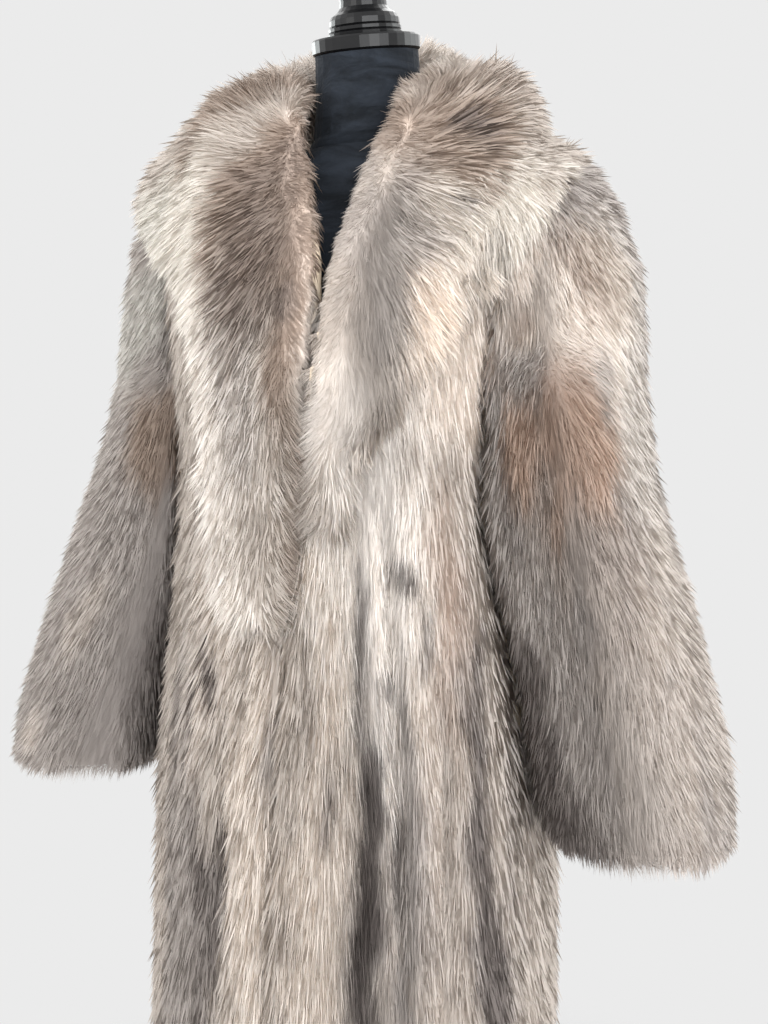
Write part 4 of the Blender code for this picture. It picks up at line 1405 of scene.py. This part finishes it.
FRONT_LEFT_PATCHES = patches(
    (14, 1.12, 36, 0.22, WHITE, 1.0), (26, 0.99, 13, 0.22, WHITE, 0.95), (48, 1.22, 14, 0.08, CREAM, 0.9),
    (74, 0.88, 14, 0.20, GREY, 0.3), (43, 1.07, 5, 0.10, RUST, 0.30), (46, 0.98, 6, 0.12, RUST, 0.3),
    (5, 0.62, 9, 0.46, CREAM, 1.0), (17, 0.52, 5.5, 0.38, GREY, 0.8), (15, 0.99, 1.5, 0.10, DARK, 0.7),
    (17, 0.80, 3.0, 0.15, DARK, 0.75), (17, 0.48, 4.6, 0.34, DARK, 0.85), (34, 0.58, 9, 0.42, BEIGE, 0.9),
    (28, 0.82, 5, 0.10, GREY, 0.4), (32, 0.78, 8, 0.15, GREY, 0.45), (36, 0.88, 4, 0.10, CREAM, 0.5),
    (37, 0.62, 4, 0.22, CREAM, 0.4), (29, 0.60, 2.4, 0.26, GREY, 0.8), (52, 0.58, 8, 0.38, GREY, 1.0),
    # The DARK patch at 52 degrees and 0.67 m paints shade on the darker side of the front toward the sleeve.
    (52, 0.67, 5.5, 0.30, DARK, 0.68), (72, 0.60, 13, 0.44, BEIGE, 0.9), (64, 0.80, 2.4, 0.16, GREY, 0.4),
    (29, 1.050, 4.4, 0.012, DARK, 0.75), (36, 0.995, 1.6, 0.030, DARK, 0.6), (25, 0.957, 4.2, 0.013, DARK, 0.75),
    (23, 0.930, 1.4, 0.034, DARK, 0.4), (31, 0.925, 1.8, 0.040, DARK, 0.55), (5, 0.855, 1.8, 0.040, DARK, 0.7),
    (0, 0.930, 1.5, 0.035, GREY, 0.8), (24, 0.80, 2.0, 0.050, DARK, 0.6))
FRONT_RIGHT_PATCHES = patches(
    (-15, 0.62, 11, 0.46, CREAM, 1.0), (-43, 0.64, 14, 0.42, GREY, 1.0), (-35, 0.66, 3.5, 0.30, DARK, 0.35),
    (-70, 0.70, 16, 0.50, BEIGE, 0.6), (-30, 1.02, 16, 0.10, CREAM, 0.5), (-37, 0.90, 6, 0.06, CREAM, 0.6),
    (-34, 0.950, 2.2, 0.034, DARK, 0.8), (-42, 0.920, 2.0, 0.040, DARK, 0.6), (-29, 0.800, 2.0, 0.034, DARK, 0.85),
    (-38, 0.790, 2.2, 0.050, DARK, 0.55), (-31, 0.690, 1.8, 0.060, DARK, 0.5), (-2, 0.790, 1.8, 0.040, DARK, 0.75),
    (-4, 0.930, 1.6, 0.030, DARK, 0.7), (-9, 0.880, 1.4, 0.040, GREY, 0.7), (-50, 0.88, 3.0, 0.060, DARK, 0.5))
BACK_PATCHES = patches(
    (180, 0.90, 7, 0.60, GREY, 1.0), (180, 1.20, 3.5, 0.20, DARK, 0.6), (181, 0.60, 3.5, 0.34, DARK, 0.7),
    (160, 0.80, 9, 0.52, CREAM, 0.9), (200, 0.80, 9, 0.52, CREAM, 0.9), (139, 0.80, 7, 0.50, GREY, 0.9),
    (221, 0.80, 7, 0.50, GREY, 0.9), (118, 0.76, 10, 0.46, BEIGE, 0.8), (243, 0.76, 10, 0.46, BEIGE, 0.8),
    (98, 0.72, 6, 0.44, GREY, 0.9), (264, 0.72, 6, 0.44, GREY, 0.9), (150, 1.24, 14, 0.09, BROWN, 0.7),
    (212, 1.22, 14, 0.09, BROWN, 0.7), (168, 0.52, 2.2, 0.05, DARK, 0.7), (193, 0.66, 2.0, 0.05, DARK, 0.7),
    (152, 0.98, 2.2, 0.04, DARK, 0.7), (209, 1.02, 2.0, 0.04, DARK, 0.7), (164, 0.84, 4.0, 0.013, DARK, 0.7),
    (199, 0.90, 4.0, 0.014, DARK, 0.7))
SLEEVE_LEFT_PATCHES = patches(
    (12, 1.27, 40, 0.08, CREAM, 0.85), (42, 1.30, 20, 0.040, BROWN, 0.7), (60, 1.20, 28, 0.16, IVORY, 0.4),
    (12, 1.09, 30, 0.13, BROWN, 0.35), (2, 1.160, 32, 0.074, RUST, 0.95), (-26, 1.12, 6, 0.08, DARK, 0.35),
    # The DARK patches at -50 and -30 degrees paint the shade on the sleeve's inner side, by the body.
    (70, 0.94, 40, 0.18, BEIGE, 0.6), (25, 0.90, 30, 0.14, BEIGE, 0.6), (-50, 0.90, 22, 0.14, DARK, 0.75),
    (-30, 0.82, 12, 0.08, DARK, 0.4), (150, 1.05, 40, 0.20, CREAM, 0.5))
SLEEVE_RIGHT_PATCHES = patches(
    # The cool rim tone patches here paint a cool rim light on the sleeve's top and outer side.
    (35, 1.27, 40, 0.08, COOL, 0.5), (0, 1.24, 14, 0.03, DARK, 0.35), (-10, 1.16, 24, 0.060, BROWN, 1.0),
    (80, 1.05, 30, 0.30, COOL, 0.35), (3, 0.975, 14, 0.04, BEIGE, 0.7), (20, 0.840, 12, 0.03, CREAM, 0.5),
    (-60, 0.95, 26, 0.20, DARK, 0.4), (150, 1.05, 40, 0.20, CREAM, 0.5))
COLLAR_LEFT_PATCHES = patches(
    (56, 1.34, 24, 0.10, IVORY, 0.95), (45, 1.25, 18, 0.07, CREAM, 0.9), (36, 1.425, 14, 0.055, BROWN, 0.8),
    (60, 1.455, 22, 0.040, BROWN, 0.7), (42, 1.395, 8, 0.030, BROWN, 0.8), (43, 1.402, 3, 0.010, DARK, 0.7),
    (38, 1.352, 3, 0.006, DARK, 0.6), (20, 1.31, 13, 0.10, GREY, 0.7), (13, 1.24, 6, 0.05, BEIGE, 0.6),
    (35, 1.27, 9, 0.04, PEACH, 0.9), (10, 1.14, 12, 0.08, WHITE, 0.8), (80, 1.44, 24, 0.05, BEIGE, 0.8),
    (170, 1.44, 50, 0.09, GREY, 0.7))
COLLAR_RIGHT_PATCHES = patches(
    # The cool rim tone patch at -70 degrees paints a cool rim light on the lapel's outer edge.
    (-46, 1.33, 26, 0.13, IVORY, 1.0), (-70, 1.33, 10, 0.10, COOL, 0.4), (-28, 1.14, 20, 0.18, WHITE, 0.9),
    (-18, 1.24, 9, 0.14, GREY, 0.55), (-12, 1.38, 17, 0.13, BROWN, 1.0), (-52, 1.455, 26, 0.050, BROWN, 0.9),
    (-3, 1.27, 8, 0.09, BROWN, 1.0), (-3, 1.12, 5, 0.15, BROWN, 0.7), (-6, 1.27, 4, 0.020, DARK, 0.5),
    (-13, 1.33, 9, 0.09, DARK, 0.36), (-80, 1.44, 24, 0.05, BEIGE, 0.8), (-170, 1.44, 50, 0.09, GREY, 0.7))


def panels() -> list[Panel]:
    """All fur panels of the coat, in the order they are built.

    Returns:
        One panel for each solid of the coat.
    """
    collar = dict(slot="collar_fur", flat=(0.24, 0.66), area=0.105, base=BEIGE, hair_depth=0.018, cell=0.005,
                  near=0.0015, lies_over=True)
    front = dict(slot="long_fur", flat=(0.40, 1.21), area=0.36, base=BEIGE)
    sleeve = dict(slot="long_fur", flat=(0.56, 0.66), area=0.30, base=GREY, hair_depth=0.016)
    return [
        Collar("collar_left", hair=Hair(seed=61, **COLLAR_HAIR), patches=COLLAR_LEFT_PATCHES, roll=ROLL_LEFT,
               shoulder_drop=0.014, top_reach=0.30,
               rests_on=("pelt_front_left", "pelt_sleeve_left", "pelt_back"), **collar),
        Collar("collar_right", hair=Hair(seed=73, **COLLAR_HAIR), patches=COLLAR_RIGHT_PATCHES, roll=ROLL_RIGHT,
               hand=-1.0, shoulder_drop=-0.004, top_reach=-0.15,
               rests_on=("pelt_front_right", "pelt_sleeve_right", "pelt_back"), **collar),
        Panel("back", "long_fur", (0.66, 1.21), 0.62, Hair(count=130_000, seed=11, **BODY_HAIR), BEIGE, BACK_PATCHES,
              (Crease(168, 6, 1.12, 0.42, 4.0, 0.004), Crease(196, -9, 0.96, 0.30, 5.0, 0.005),
               Crease(228, 5, 1.06, 0.62, 3.5, 0.004), Crease(130, -4, 0.90, 0.28, 4.5, 0.005)),
              bare_beside=(ROLL_LEFT[2:], ROLL_RIGHT[3:])),
        Panel("front_left", hair=Hair(count=140_000, seed=23, **BODY_HAIR), patches=FRONT_LEFT_PATCHES,
              creases=(Crease(24, 8, 1.10, 0.66, 3.0, 0.004), Crease(40, -5, 0.98, 0.28, 4.0, 0.005),
                       Crease(66, 4, 1.02, 0.52, 4.5, 0.004)), bare_beside=(ROLL_LEFT[2:],), **front),
        Panel("front_right", hair=Hair(count=92_000, seed=37, **BODY_HAIR), patches=FRONT_RIGHT_PATCHES,
              creases=(Crease(-25, -6, 0.94, 0.34, 3.5, 0.004), Crease(-55, 5, 1.04, 0.60, 4.0, 0.005)),
              bare_beside=(ROLL_RIGHT[3:],), **front),
        Sleeve("sleeve_left", hair=Hair(count=115_000, seed=41, **SLEEVE_HAIR), patches=SLEEVE_LEFT_PATCHES,
               creases=(Crease(-15, 20, 1.14, 1.00, 9.0, 0.004), Crease(55, -10, 1.02, 0.86, 8.0, 0.003)),
               hem_rise=0.026, axis=AXIS_LEFT, whorl=Whorl(0.205, -0.121, 1.215), **sleeve),
        Sleeve("sleeve_right", hair=Hair(count=95_000, seed=53, **SLEEVE_HAIR), patches=SLEEVE_RIGHT_PATCHES,
               creases=(Crease(10, -16, 1.12, 0.98, 9.0, 0.004), Crease(-50, 12, 1.05, 0.90, 8.0, 0.003)),
               hem_rise=0.016, axis=AXIS_RIGHT, whorl=Whorl(-0.190, -0.070, 1.200), hand=-1.0, **sleeve),
    ]


def main() -> None:
    """Builds the coat's looks and the studio round the frame."""
    logging.basicConfig(level=logging.INFO, format="%(message)s")
    nodes = frame["nodes"]
    coat = panels()
    DressForm(
        # The velvet's second, lighter colour paints highlights along its creases.
        SolidFinish("black_velvet", linear(8, 11, 15), linear(26, 30, 36), 0.9, sheen=0.03, specular=0.12,
                    mark_scale=16.0, mark_stretch=(1.0, 1.0, 3.4), mark_turn=(0.0, math.radians(28.0), 0.0),
                    bump=0.7, bump_distance=0.004),
        SolidFinish("black_lacquer", linear(5, 5, 6), linear(8, 8, 9), 0.30, specular=0.16, bump=0.02),
        SolidFinish("black_metal", linear(30, 30, 32), linear(38, 38, 40), 0.42, metallic=0.5, bump=0.04),
    ).build(nodes)
    trees = {panel.node: tree_of(nodes[panel.node].data) for panel in coat}
    grower, strands = FurTree(), Strands()
    hair_finish, pelt_finish = FurFinish().make(), PeltFinish().make()
    for panel in coat:
        panel.build(nodes, trees, grower, strands, hair_finish, pelt_finish)
    strands.remove()
    bpy.data.node_groups.remove(grower.group)
    Studio().build()


if __name__ == "__main__":
    main()
